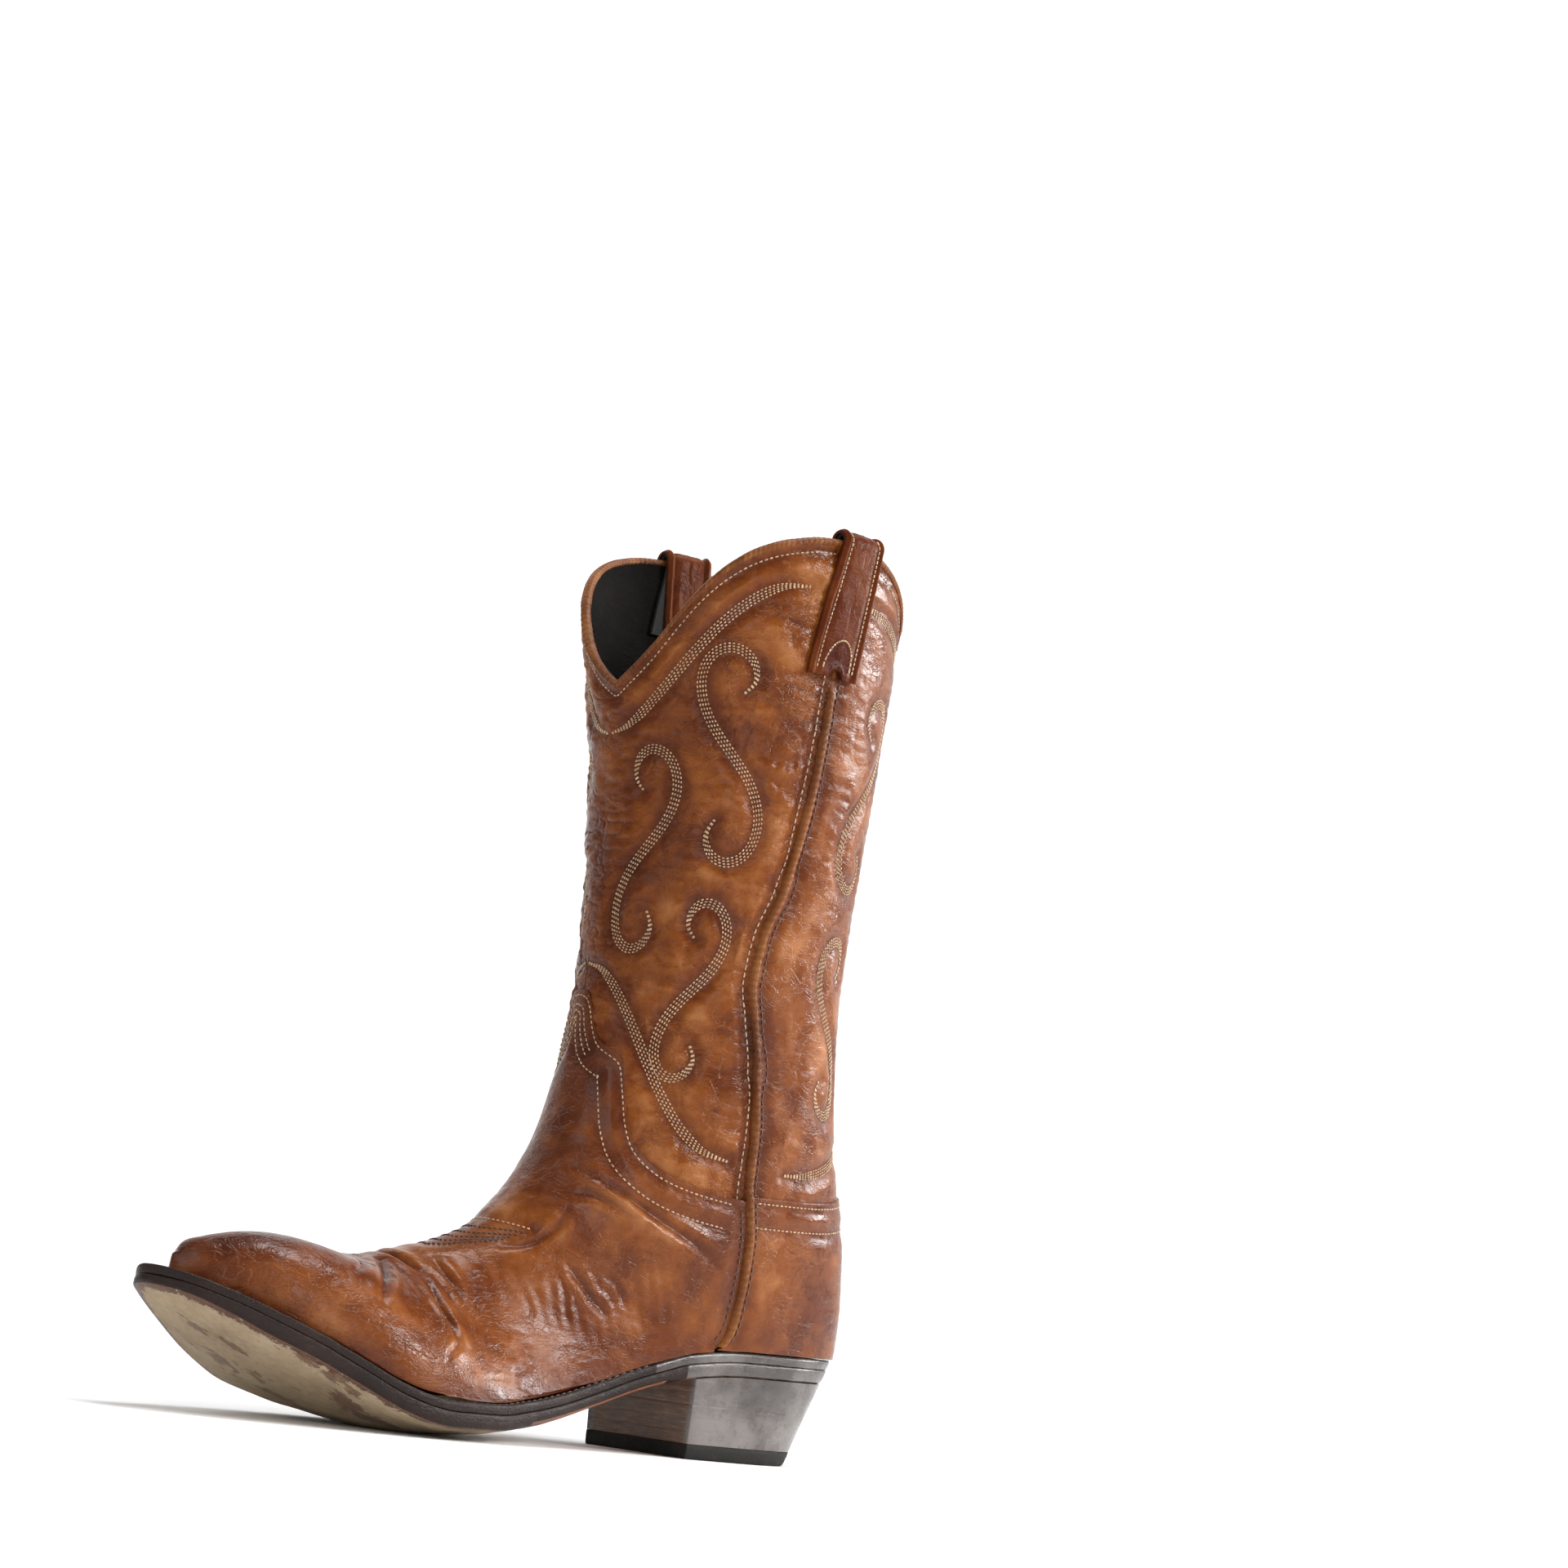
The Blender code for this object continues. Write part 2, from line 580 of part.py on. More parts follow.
def heel_layer(name, material, z_low, z_high):
    grids = []
    for z, height in ((z_high, None), (z_low, None)):
        x_inner, x_outer, f = heel_section(z)
        u = np.linspace(0, 1, 3)[None, :]
        x = x_inner[:, None] * u + x_outer[:, None] * (1 - u)
        deep = np.broadcast_to(f[:, None], x.shape)
        top = np.minimum(z, sole_height(deep) - GAP) if z == z_high else np.full(x.shape, z)
        grids.append(np.stack([x, deep, top], -1))
    return slab(name, "foot", material, grids[0], grids[1])


def cylinder(name, body, material, centre, radius, z_low, z_high, sides=8, helper=False):
    turn = (np.arange(sides) + 0.37) * 2 * math.pi / sides
    rim = np.stack([centre[0] + radius * np.cos(turn), centre[1] + radius * np.sin(turn)], -1)
    points = np.concatenate([np.column_stack([rim, np.full(sides, z)]) for z in (z_low, z_high)])
    faces = [tuple(range(sides)), tuple(range(sides, 2 * sides))]
    faces += [(i, (i + 1) % sides, sides + (i + 1) % sides, sides + i) for i in range(sides)]
    obj = add_solid(name, body, material, points, faces)
    if helper:
        obj.hide_render = True
        obj.display_type = "WIRE"
    return obj


def bore(obj, cutter):
    cut = obj.modifiers.new("bore_" + cutter.name, "BOOLEAN")
    cut.operation = "DIFFERENCE"
    cut.solver = "EXACT"
    cut.object = cutter


def add_heel():
    heel_layer("heel_cap", "rubber", 0.0, HEEL_CAP_THICK)
    stack_low = HEEL_CAP_THICK + GAP
    pitch = (HEEL_TOP - stack_low) / LIFTS
    lifts = []
    for i in range(LIFTS):
        low = stack_low + i * pitch
        high = low + pitch - GAP if i < LIFTS - 1 else HEEL_TOP + 5
        lifts.append(heel_layer(f"heel_lift_{i + 1}", "stacked_leather", low, high))
    nail_low, nail_high = stack_low + 1.0, HEEL_TOP - 2.0
    for i, place in enumerate(NAIL_PLACES):
        cylinder(f"heel_nail_{i + 1}", "foot", "steel", place, NAIL_RADIUS, nail_low, nail_high)
        cutter = cylinder(
            f"nail_hole_{i + 1}", "foot", "steel", place, NAIL_RADIUS + GAP, nail_low - GAP, nail_high + GAP, 8, True
        )
        for lift in lifts:
            bore(lift, cutter)


# --- the upper -----------------------------------------------------------------------------------------------------


def add_vamp():
    t, angle = patch(front_side(-1), front_side(1), level(VAMP_EDGE), at(LAST_ARCH), 22, 17)
    shell("vamp", "foot", "leather", SKIN, t, angle, closed_tip=True)
    puff_from = plane(236, 20, 0.35, LAST_RING)
    t, angle = patch(front_side(-1), front_side(1), puff_from, at(LAST_ARCH - 0.7), 8, 13)
    shell("toe_puff", "forefoot", "lining_leather", (PANEL[0] - 0.3, PANEL[1]), t, angle)


def add_counter():
    sides = (back_side(1), back_side(-1))
    t, angle = patch(*sides, level(COUNTER_EDGE), at(LAST_RING), 6, BACK_COLUMNS)
    shell("counter", "foot", "leather", SKIN, t, angle)
    t, angle = patch(*sides, level(COUNTER_EDGE, TUCK + 1), at(LAST_RING), 5, BACK_COLUMNS)
    shell("counter_stiffener", "foot", "lining_leather", PANEL, t, angle)


def add_panels():
    t, angle = patch(front_side(-1), front_side(1), level(TOP_EDGE, 2.4), level(VAMP_EDGE, TUCK), 13, FRONT_COLUMNS)
    shell("front_panel", "shaft", "leather", PANEL, t, angle)
    t, angle = patch(back_side(1), back_side(-1), level(TOP_EDGE, 2.4), level(COUNTER_EDGE, TUCK), 13, BACK_COLUMNS)
    shell("back_panel", "shaft", "leather", PANEL, t, angle)


def ankle_edge(gap, slope):
    """t where the surface meets the V that opens from the ankle line, gap above it."""
    def find(angle):
        return solve_t(
            angle, lambda p: p[..., 2] - ANKLE[1] - gap - slope * np.abs(p[..., 1] - ANKLE[0]), 0, LAST_RING
        )
    return find


def add_linings():
    front = (front_side(-1), front_side(1))
    back = (back_side(1), back_side(-1))
    lean_front, lean_back = math.tan(LEAN_FORWARD), math.tan(LEAN_BACK)
    shaft_front, shaft_back = ankle_edge(3.0, lean_front), ankle_edge(3.0, lean_back)
    band_front, band_back = ankle_edge(2.5, lean_front), ankle_edge(2.5, lean_back)
    foot_edge, band_edge = ankle_edge(-2.0, 0.0), ankle_edge(-1.5, 0.0)
    pieces = (
        ("front_lining", "shaft", front, level(TOP_EDGE, 2.4), shaft_front, 11),
        ("back_lining", "shaft", back, level(TOP_EDGE, 2.4), shaft_back, 11),
        ("ankle_lining_front", "foot", front, band_front, band_edge, 3),
        ("ankle_lining_back", "foot", back, band_back, band_edge, 3),
        ("heel_lining", "foot", back, foot_edge, at(LAST_RING), 7),
    )
    for name, body, sides, start, stop, rows in pieces:
        t, angle = patch(*sides, start, stop, rows, FRONT_COLUMNS if sides is front else BACK_COLUMNS)
        shell(name, body, "lining_leather", LINING, t, angle)
    half = math.tan(TOE_UP) / 2
    rear_edge, front_edge = plane(BALL[0] - 0.4, BALL[1], -half, 3), plane(BALL[0] + 0.8, BALL[1], half, 3)
    t, angle = patch(*front, foot_edge, rear_edge, 9, 17)
    shell("vamp_lining_rear", "foot", "lining_leather", LINING, t, angle)
    t, angle = patch(front_side(-1), front_side(1), front_edge, at(LAST_ARCH - 1.3), 8, 17)
    shell("vamp_lining_front", "forefoot", "lining_leather", LINING, t, angle)
    angle = np.broadcast_to(np.linspace(-76, 76, 17), (3, 17))
    start, stop = plane(BALL[0] + 0.3, BALL[1], -half, 3)(angle), plane(BALL[0] + 0.1, BALL[1], half, 3)(angle)
    t = start + (stop - start) * np.linspace(0, 1, 3)[:, None]
    shell("ball_lining", "foot", "lining_leather", LINING, t, angle)


STRAP_FOOT = 276.0  # the outer leg of a pull strap ends above this height


def add_pipings():
    """The cord sewn into each side seam, from the sole to just under the top edge."""
    for name, sign in (("medial_piping", 1), ("lateral_piping", -1)):
        t_top = float(level(TOP_EDGE, 2.0)(np.array(104.0)))
        t = np.linspace(t_top, LAST_RING - 0.12, 27)
        width, count = 1.25, 3
        centre = seam_angle(t)
        spread = np.linspace(-width, width, count)
        around = master(t, sign * (centre + 0.5)) - master(t, sign * (centre - 0.5))
        per_degree = np.linalg.norm(around, axis=-1)
        angle = sign * (centre[:, None] + spread[None, :] / per_degree[:, None])
        grid_t = np.broadcast_to(t[:, None], angle.shape)
        under_strap = np.clip((master(t, sign * centre)[:, 2] - STRAP_FOOT) / 4, 0, 1)[:, None]
        crown = np.array([0.9, 2.3, 0.9])[None, :] * (1 - under_strap) + 0.1 * under_strap
        outer = offset(grid_t, angle, crown)
        inner = offset(grid_t, angle, np.full(angle.shape, LINING[1]))
        slab(name, "shaft", "binding", outer, inner)


def add_top_bindings():
    """The folded strip along the top edge of each shaft panel."""
    for name, sides, columns in (
        ("front_binding", (front_side(-1), front_side(1)), FRONT_COLUMNS),
        ("back_binding", (back_side(1), back_side(-1)), BACK_COLUMNS),
    ):
        t, angle = patch(*sides, level(TOP_EDGE, -0.2), level(TOP_EDGE, 1.6), 2, columns)
        shell(name, "shaft", "binding", (0.3, -2.9), t, angle)


STRAP_HALF = (10.0, 12.0)  # half width at the fold and at the outer leg's end
STRAP_ANGLE = (101.0, 94.0)  # degrees round the shaft at the fold and at the outer leg's end
STRAP_LEG = 50.0  # how far the outer leg reaches below the top edge
STRAP_INNER_LEG = 44.0
STRAP_RISE = 1.8  # how far the loop's middle stands above the edge
WEBBING_LEG, WEBBING_INNER_LEG = 28.0, 30.0


def strap_path(clear, low_outer, low_inner):
    """(distance from the master surface, height above the top edge) from the outer leg's end over to the inner's."""
    outside, inside = SKIN[1] + clear, LINING[1] - GAP - clear
    turn = np.linspace(0, math.pi, 7)
    middle, half = (outside + inside) / 2, (outside - inside) / 2
    arc = [(middle + half * math.cos(a), clear * 0.8 + STRAP_RISE * math.sin(a)) for a in turn]
    outer_leg = [(outside, -low_outer * share) for share in (1, 0.72, 0.45, 0.2)]
    inner_leg = [(inside, -low_inner * share) for share in (0.25, 0.6, 1)]
    return np.array(outer_leg + arc + inner_leg)


def add_straps():
    """A pull strap over each side seam: leather outside, webbing inside, both folded over the top edge."""
    layers = (
        ("pull_strap", "strap_leather", 1.9, 3.3, STRAP_LEG, STRAP_INNER_LEG, 0.0),
        ("strap_webbing", "webbing", 0.25, 1.55, WEBBING_LEG, WEBBING_INNER_LEG, 1.0),
    )
    top = float(smooth_line(TOP_EDGE, STRAP_ANGLE[0]))
    t_edge = solve_t(np.array(STRAP_ANGLE[0]), lambda p: p[..., 2] - top, 0, LAST_RING)
    per_degree = np.linalg.norm(master(t_edge, STRAP_ANGLE[0] + 0.5) - master(t_edge, STRAP_ANGLE[0] - 0.5))
    for side, sign in (("medial", 1), ("lateral", -1)):
        for label, material, near, far, low_outer, low_inner, narrower in layers:
            grids = []
            for clear in (far, near):
                path = strap_path(clear, low_outer, low_inner)
                down = np.clip(-path[:, 1] / STRAP_LEG, 0, 1)
                half = STRAP_HALF[0] + (STRAP_HALF[1] - STRAP_HALF[0]) * down - narrower
                centre = STRAP_ANGLE[0] + (STRAP_ANGLE[1] - STRAP_ANGLE[0]) * down
                across = np.linspace(-1, 1, 4)[None, :] * half[:, None] / per_degree
                angle = sign * (centre[:, None] + across)
                height = top + np.minimum(path[:, 1], 0)[:, None]
                t = solve_t(angle, lambda p: p[..., 2] - height, 0, LAST_RING)
                points = offset(t, angle, np.broadcast_to(path[:, :1], angle.shape))
                points[..., 2] += np.maximum(path[:, 1], 0)[:, None]
                grids.append(points)
            slab(f"{side}_{label}", "shaft", material, grids[0], grids[1])


def add_pegs():
    """Wooden pegs that pin the waist of the outsole to the insole, on both sides of the shank."""
    for side, sign in (("medial", 1), ("lateral", -1)):
        for i, f in enumerate((104, 118, 132)):
            x = sign * 15.5 - (1.5 if sign < 0 else 0)
            low = float(sole_height(f, x)) + OUTSOLE_THICK + 0.8
            high = float(feather_height(f, x)) - 0.9
            cylinder(f"{side}_peg_{i + 1}", "foot", "wood", (x, f), 1.0, low, high, 6)


clear_scene()
MATERIALS = {key: make_material(key) for key in COLOURS}
EMPTIES = {}
for body_name, place in PIVOTS.items():
    empty = bpy.data.objects.new(body_name + "_axis", None)
    empty.location = Vector(place)
    bpy.context.scene.collection.objects.link(empty)
    EMPTIES[body_name] = empty

add_outsole()
add_welts()
add_insoles()
add_fillers()
add_pegs()
add_heel()
add_vamp()
add_counter()
add_panels()
add_linings()
add_pipings()
add_top_bindings()
add_straps()
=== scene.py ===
"""Cowboy boot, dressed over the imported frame: pull-up leather, stitched scrolls, pull straps, worn sole, stacked heel."""

import math

import bpy
import numpy as np
from mathutils import Matrix, Vector, kdtree


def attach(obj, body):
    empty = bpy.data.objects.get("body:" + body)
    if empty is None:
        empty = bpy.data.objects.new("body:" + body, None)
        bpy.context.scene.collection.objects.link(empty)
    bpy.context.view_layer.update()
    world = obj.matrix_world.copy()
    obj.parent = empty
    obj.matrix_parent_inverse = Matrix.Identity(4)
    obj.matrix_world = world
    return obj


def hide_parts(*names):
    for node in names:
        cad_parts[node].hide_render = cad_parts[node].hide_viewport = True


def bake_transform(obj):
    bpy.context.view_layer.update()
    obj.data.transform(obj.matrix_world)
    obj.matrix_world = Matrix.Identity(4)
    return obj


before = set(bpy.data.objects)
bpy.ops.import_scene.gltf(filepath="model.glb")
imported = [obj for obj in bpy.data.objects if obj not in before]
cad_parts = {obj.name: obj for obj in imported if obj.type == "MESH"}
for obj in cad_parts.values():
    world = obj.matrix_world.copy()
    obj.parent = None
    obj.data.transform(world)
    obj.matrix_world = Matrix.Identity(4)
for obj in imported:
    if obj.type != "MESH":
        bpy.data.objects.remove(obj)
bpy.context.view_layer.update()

# --- layout, in millimetres: x inner side, f forwards from the heel, z up --------------------------------------------

ORIGIN_F = 147.69
SOLE_LINE = (
    (-4, 31.0), (55, 30.6), (80, 28.4), (100, 22.0), (120, 13.6), (140, 6.4), (158, 2.0), (174, 0.0),
    (192, 0.0), (212, 2.8), (232, 9.2), (252, 17.6), (272, 27.4), (290, 36.0), (306, 42.0),
)
CROWN = ((90, 0.0), (125, 2.5), (165, 4.5), (240, 4.5), (280, 2.0), (306, 0.0))
SOLE_MIDDLE = ((0, -1, 30), (90, -1, 31), (120, -3, 33), (150, -4.5, 42), (195, -1.5, 50), (225, 0.5, 44),
               (250, 2, 36), (270, 3.5, 26), (290, 4, 18))
OUTSOLE_THICK, WELT_THICK, GAP = 5.2, 3.5, 0.3
FEATHER_RISE = OUTSOLE_THICK + WELT_THICK + 2 * GAP
OVERHANG = ((0, 1.2), (70, 1.2), (100, 2.0), (150, 4.4), (240, 5.0), (262, 5.8), (275, 9.0), (282, 14.3))
RINGS = (
    ((80, 347), (144, 347), (12, 347), 54.0, 2.1, 2.2, 62.0),
    ((78, 300), (135, 300), (14, 300), 51.5, 2.1, 2.2, 62.0),
    ((75, 250), (125, 250), (16.5, 250), 47.5, 2.1, 2.2, 66.0),
    ((74, 205), (121, 205), (18.5, 205), 43.5, 2.1, 2.2, 75.0),
    ((74, 170), (121, 172), (19, 170), 41.0, 2.1, 2.2, 77.0),
    ((74, 140), (123, 146), (16.5, 140), 39.0, 2.1, 2.3, 72.0),
    ((74, 116), (127, 124), (12.5, 116), 37.5, 2.1, 2.4, 68.5),
    ((74.5, 96), (133, 107), (8, 98), 36.0, 2.1, 2.5, 67.0),
    ((75, 78), (142, 92.5), (4, 78), 34.5, 2.1, 2.6, 66.0),
    ((75, 58), (152, 80.5), (1.8, 58), 32.5, 2.1, 2.8, 68.0),
    ((75, 39.6), (163, 71.5), (1.8, 40.3), 30.0, 2.1, 2.9, 75.0),
)
ARCHES = (
    (95, (174, 66.0), 29.0, 31.5, 2.1),
    (115, (186, 61.5), 28.5, 34.5, 2.1),
    (135, (197, 58.0), 30.5, 39.0, 2.1),
    (155, (208, 56.3), 35.5, 44.0, 2.1),
    (175, (218, 56.5), 41.0, 47.5, 2.1),
    (194, (229, 58.0), 44.0, 47.5, 2.1),
    (211, (240, 59.5), 43.0, 44.0, 2.1),
    (228, (250, 60.0), 38.5, 37.0, 2.2),
    (245, (260, 59.3), 32.0, 27.5, 2.3),
    (259, (267, 58.0), 24.5, 18.5, 2.4),
    (269, (273, 56.4), 18.0, 10.5, 2.4),
    (276.5, (278.5, 54.8), 13.0, 5.0, 2.3),
    (281.5, (281.5, 51.2), 7.5, -0.5, 2.2),
)
LAST_RING = len(RINGS) - 1
LAST_ARCH = LAST_RING + len(ARCHES)
TOP_EDGE = ((0, 273), (12, 280), (22, 287.5), (32, 297.5), (41, 307), (51, 316), (62, 323.5), (73, 328.5),
            (88, 332.5), (98, 333.5), (108, 332), (125, 325.5), (145, 313), (165, 299.5), (180, 291))
VAMP_LINE = ((0, 162.5), (8, 161), (12, 157), (16, 150), (22, 143.5), (29, 140.5), (34, 138), (38, 129), (43, 117),
             (49, 108), (56, 102.5), (64, 98.5), (75, 95.5), (92, 93))
COUNTER_EDGE = ((90, 95), (120, 96), (180, 102))
BREAST_F = 80.0

rng = np.random.default_rng(11)


def smooth_line(points, at):
    x = np.array([p[0] for p in points], float)
    y = np.array([p[1] for p in points], float)
    step = np.diff(x)
    slope = np.diff(y) / step
    tangent = np.empty(len(x))
    tangent[0], tangent[-1] = slope[0], slope[-1]
    before, after = slope[:-1], slope[1:]
    same = before * after > 0
    tangent[1:-1] = np.where(same, 2 * before * after / np.where(same, before + after, 1), 0)
    at = np.clip(np.asarray(at, float), x[0], x[-1])
    i = np.clip(np.searchsorted(x, at, side="right") - 1, 0, len(step) - 1)
    u = (at - x[i]) / step[i]
    return (
        y[i] * (1 + 2 * u) * (1 - u) ** 2
        + y[i + 1] * u * u * (3 - 2 * u)
        + step[i] * (tangent[i] * u * (1 - u) ** 2 - tangent[i + 1] * u * u * (1 - u))
    )


def ramp(value, low, high):
    """0 below low, 1 above high, smooth between."""
    u = np.clip((np.asarray(value, float) - low) / (high - low), 0, 1)
    return u * u * (3 - 2 * u)


def sole_height(f, x=None):
    edge = smooth_line(CROWN, f)
    if x is None:
        return smooth_line(SOLE_LINE, f) + edge
    middle = smooth_line([row[:2] for row in SOLE_MIDDLE], f)
    half = smooth_line([(row[0], row[2]) for row in SOLE_MIDDLE], f)
    return smooth_line(SOLE_LINE, f) + edge * np.minimum(((x - middle) / half) ** 2, 1.0)


def feather_height(f, x=None):
    return sole_height(f, x) + FEATHER_RISE


def station_table():
    rows = []
    for centre, front, back, half, full_front, full_back, seam in RINGS:
        rows.append((*centre, *front, *back, 0.0, half, full_front, full_back, seam))
    for f, top, inner, outer, full in ARCHES:
        foot = (f, float(feather_height(f)))
        rows.append((*foot, *top, *RINGS[-1][2], (inner - outer) / 2, (inner + outer) / 2, full, 2.9, f))
    return np.array(rows, float)


STATIONS = station_table()
PADDED = np.vstack([2 * STATIONS[:1] - STATIONS[1:2], STATIONS, 2 * STATIONS[-1:] - STATIONS[-2:-1]])


def station(t):
    t = np.clip(np.asarray(t, float), 0, LAST_ARCH)
    i = np.clip(np.floor(t).astype(int), 0, LAST_ARCH - 1)
    u = (t - i)[..., None]
    a, b, c, d = (PADDED[i + k] for k in range(4))
    return 0.5 * (2 * b + (c - a) * u + (2 * a - 5 * b + 4 * c - d) * u**2 + (3 * b - a - 3 * c + d) * u**3)


def power(value, exponent):
    return np.sign(value) * np.abs(value) ** exponent


def master(t, angle):
    t, angle = np.broadcast_arrays(np.asarray(t, float), np.asarray(angle, float))
    row = station(t)
    turn = np.radians(angle)
    along, across = np.cos(turn), np.sin(turn)
    fullness = np.where(along >= 0, row[..., 8], row[..., 9])
    reach = np.abs(along) ** (2 / fullness)
    front = along >= 0
    f = row[..., 0] + reach * np.where(front, row[..., 2] - row[..., 0], row[..., 4] - row[..., 0])
    z = row[..., 1] + reach * np.where(front, row[..., 3] - row[..., 1], row[..., 5] - row[..., 1])
    x = row[..., 6] + row[..., 7] * power(across, 2 / fullness)
    return np.stack([x, f, z], -1)


def normal_at(t, angle):
    t, angle = np.broadcast_arrays(np.asarray(t, float), np.asarray(angle, float))
    by_t = master(np.minimum(t + 0.02, LAST_ARCH), angle) - master(np.maximum(t - 0.02, 0), angle)
    by_angle = master(t, angle + 0.5) - master(t, angle - 0.5)
    normal = np.cross(by_t, by_angle)
    normal /= np.linalg.norm(normal, axis=-1, keepdims=True) + 1e-12
    row = station(t)
    centre = np.stack([row[..., 6], row[..., 0], row[..., 1]], -1)
    return normal * np.sign(np.sum(normal * (master(t, angle) - centre), -1, keepdims=True) + 1e-9)


def offset(t, angle, distance):
    return master(t, angle) + normal_at(t, angle) * np.asarray(distance, float)[..., None]


def solve_t(angle, test, low, high):
    low = np.full(np.shape(angle), float(low))
    high = np.full(np.shape(angle), float(high))
    for _ in range(22):
        middle = (low + high) / 2
        inside = test(master(middle, angle)) > 0
        low, high = np.where(inside, middle, low), np.where(inside, high, middle)
    return (low + high) / 2


def fold(angle):
    return np.abs((np.asarray(angle, float) + 180) % 360 - 180)


def seam_angle(t):
    row = station(np.minimum(t, LAST_RING))
    along = row[..., 10] - row[..., 0]
    reach = np.where(along >= 0, row[..., 2] - row[..., 0], row[..., 0] - row[..., 4])
    fullness = np.where(along >= 0, row[..., 8], row[..., 9])
    cosine = power(np.clip(along / reach, -1, 1), fullness / 2)
    return np.where(np.asarray(t) >= LAST_RING, 90.0, np.degrees(np.arccos(cosine)))


def tongue(angle):
    """Degrees from the tongue's middle, which the worn shaft has turned a little to the outer side."""
    signed = (np.asarray(angle, float) + 180) % 360 - 180
    return np.abs(signed + 11 * np.exp(-((signed / 48) ** 2)))


def level(edge, drop=0.0, high=LAST_RING):
    def find(angle):
        height = smooth_line(edge, tongue(angle) if edge is VAMP_LINE else fold(angle)) - drop
        return solve_t(angle, lambda p: p[..., 2] - height, 0, high)
    return find


def at(t):
    return lambda angle: np.full(np.shape(angle), float(t))


def patch(side_from, side_to, t_from, t_to, rows, columns):
    u = np.linspace(0, 1, columns)[None, :]
    v = np.linspace(0, 1, rows)[:, None]
    t = np.full((rows, columns), 3.0)
    angle = None
    for _ in range(5):
        angle = side_from(t) + (side_to(t) - side_from(t)) * u
        start, stop = t_from(angle[0]), t_to(angle[-1])
        t = start + (stop - start) * v
    return t, angle


def beside_seam(t, clear):
    t = np.minimum(np.asarray(t, float), LAST_RING)
    centre = seam_angle(np.minimum(t, LAST_RING - 0.01))
    return clear / np.linalg.norm(master(t, centre + 0.5) - master(t, centre - 0.5), axis=-1)


def front_side(sign, clear=0.9):
    return lambda t: sign * (seam_angle(t) - np.where(np.asarray(t) >= LAST_RING, 0, beside_seam(t, clear)))


def back_side(sign, clear=0.9):
    return lambda t: 180 - sign * (180 - seam_angle(np.minimum(t, LAST_RING - 0.01)) - beside_seam(t, clear))


# --- meshes ----------------------------------------------------------------------------------------------------------


def to_world(points):
    """Metres; the worn forefoot tips up a little on its inner side."""
    points = np.array(points, float)
    points[..., 2] += 0.10 * ramp(points[..., 1], 203, 245) * (points[..., 0] - 3.0)
    return np.stack([points[..., 0], ORIGIN_F - points[..., 1], points[..., 2]], -1) * 0.001


def make_piece(name, points, faces, material, rest=None, fields=None, smooth=True, normals=None):
    """points in layout millimetres, faces as index arrays of one width each. The faces turn as they're given."""
    mesh = bpy.data.meshes.new(name)
    points = np.asarray(points, float).reshape(-1, 3)
    # The world mirrors the layout, so each face turns round.
    faces = [np.asarray(f, np.int32)[:, ::-1] for f in faces if len(f)]
    mesh.vertices.add(len(points))
    mesh.vertices.foreach_set("co", to_world(points).astype(np.float32).ravel())
    loops = np.concatenate([f.ravel() for f in faces])
    sizes = np.concatenate([np.full(len(f), f.shape[1]) for f in faces])
    starts = np.concatenate([[0], np.cumsum(sizes)[:-1]])
    mesh.loops.add(len(loops))
    mesh.loops.foreach_set("vertex_index", loops.astype(np.int32))
    mesh.polygons.add(len(sizes))
    mesh.polygons.foreach_set("loop_start", starts.astype(np.int32))
    mesh.update(calc_edges=True)
    mesh.validate()
    mesh.polygons.foreach_set("use_smooth", np.full(len(mesh.polygons), smooth))
    attribute = mesh.attributes.new("rest", "FLOAT_VECTOR", "POINT")
    attribute.data.foreach_set("vector", np.asarray(points if rest is None else rest, np.float32).ravel())
    for key, values in (fields or {}).items():
        attribute = mesh.attributes.new(key, "FLOAT", "POINT")
        attribute.data.foreach_set("value", np.asarray(values, np.float32).ravel())
    if normals is not None:
        mesh.normals_split_custom_set_from_vertices(normals)
    obj = bpy.data.objects.new(name, mesh)
    obj.data.materials.append(material)
    bpy.context.scene.collection.objects.link(obj)
    return obj


def grid_quads(rows, columns, start=0, flip=False, wrap=False):
    i = np.arange(rows - 1)[:, None]
    j = np.arange(columns if wrap else columns - 1)[None, :]
    k = (j + 1) % columns
    a, b, c, d = (start + i * columns + j, start + i * columns + k,
                  start + (i + 1) * columns + k, start + (i + 1) * columns + j)
    quads = np.stack(np.broadcast_arrays(*((a, d, c, b) if flip else (a, b, c, d))), -1)
    return quads.reshape(-1, 4)


def facing_out(points, quads, centre_of):
    """The quads turned so that most of them face away from centre_of(face centres)."""
    corners = points[quads]
    middle = corners.mean(1)
    normal = np.cross(corners[:, 2] - corners[:, 0], corners[:, 3] - corners[:, 1])
    away = np.sum(normal * (middle - centre_of(middle)), -1)
    return quads if np.sum(away) > 0 else quads[:, ::-1]


def axis_point(points):
    """A point inside the boot for each point on its skin."""
    f = np.clip(points[:, 1], 40, 250)
    high = points[:, 2] > 95
    z = np.where(high, points[:, 2], feather_height(f) + 12)
    return np.stack([np.zeros(len(f)), np.where(high, 74, f), z], -1)


def hashed(ix, iy, iz, seed):
    n = (ix * 374761393 + iy * 668265263 + iz * 2147483647 + seed * 1274126177) & 0xFFFFFFFF
    n = ((n ^ (n >> 13)) * 1274126177) & 0xFFFFFFFF
    return ((n ^ (n >> 16)) & 0xFFFFFF) / float(0xFFFFFF) * 2 - 1


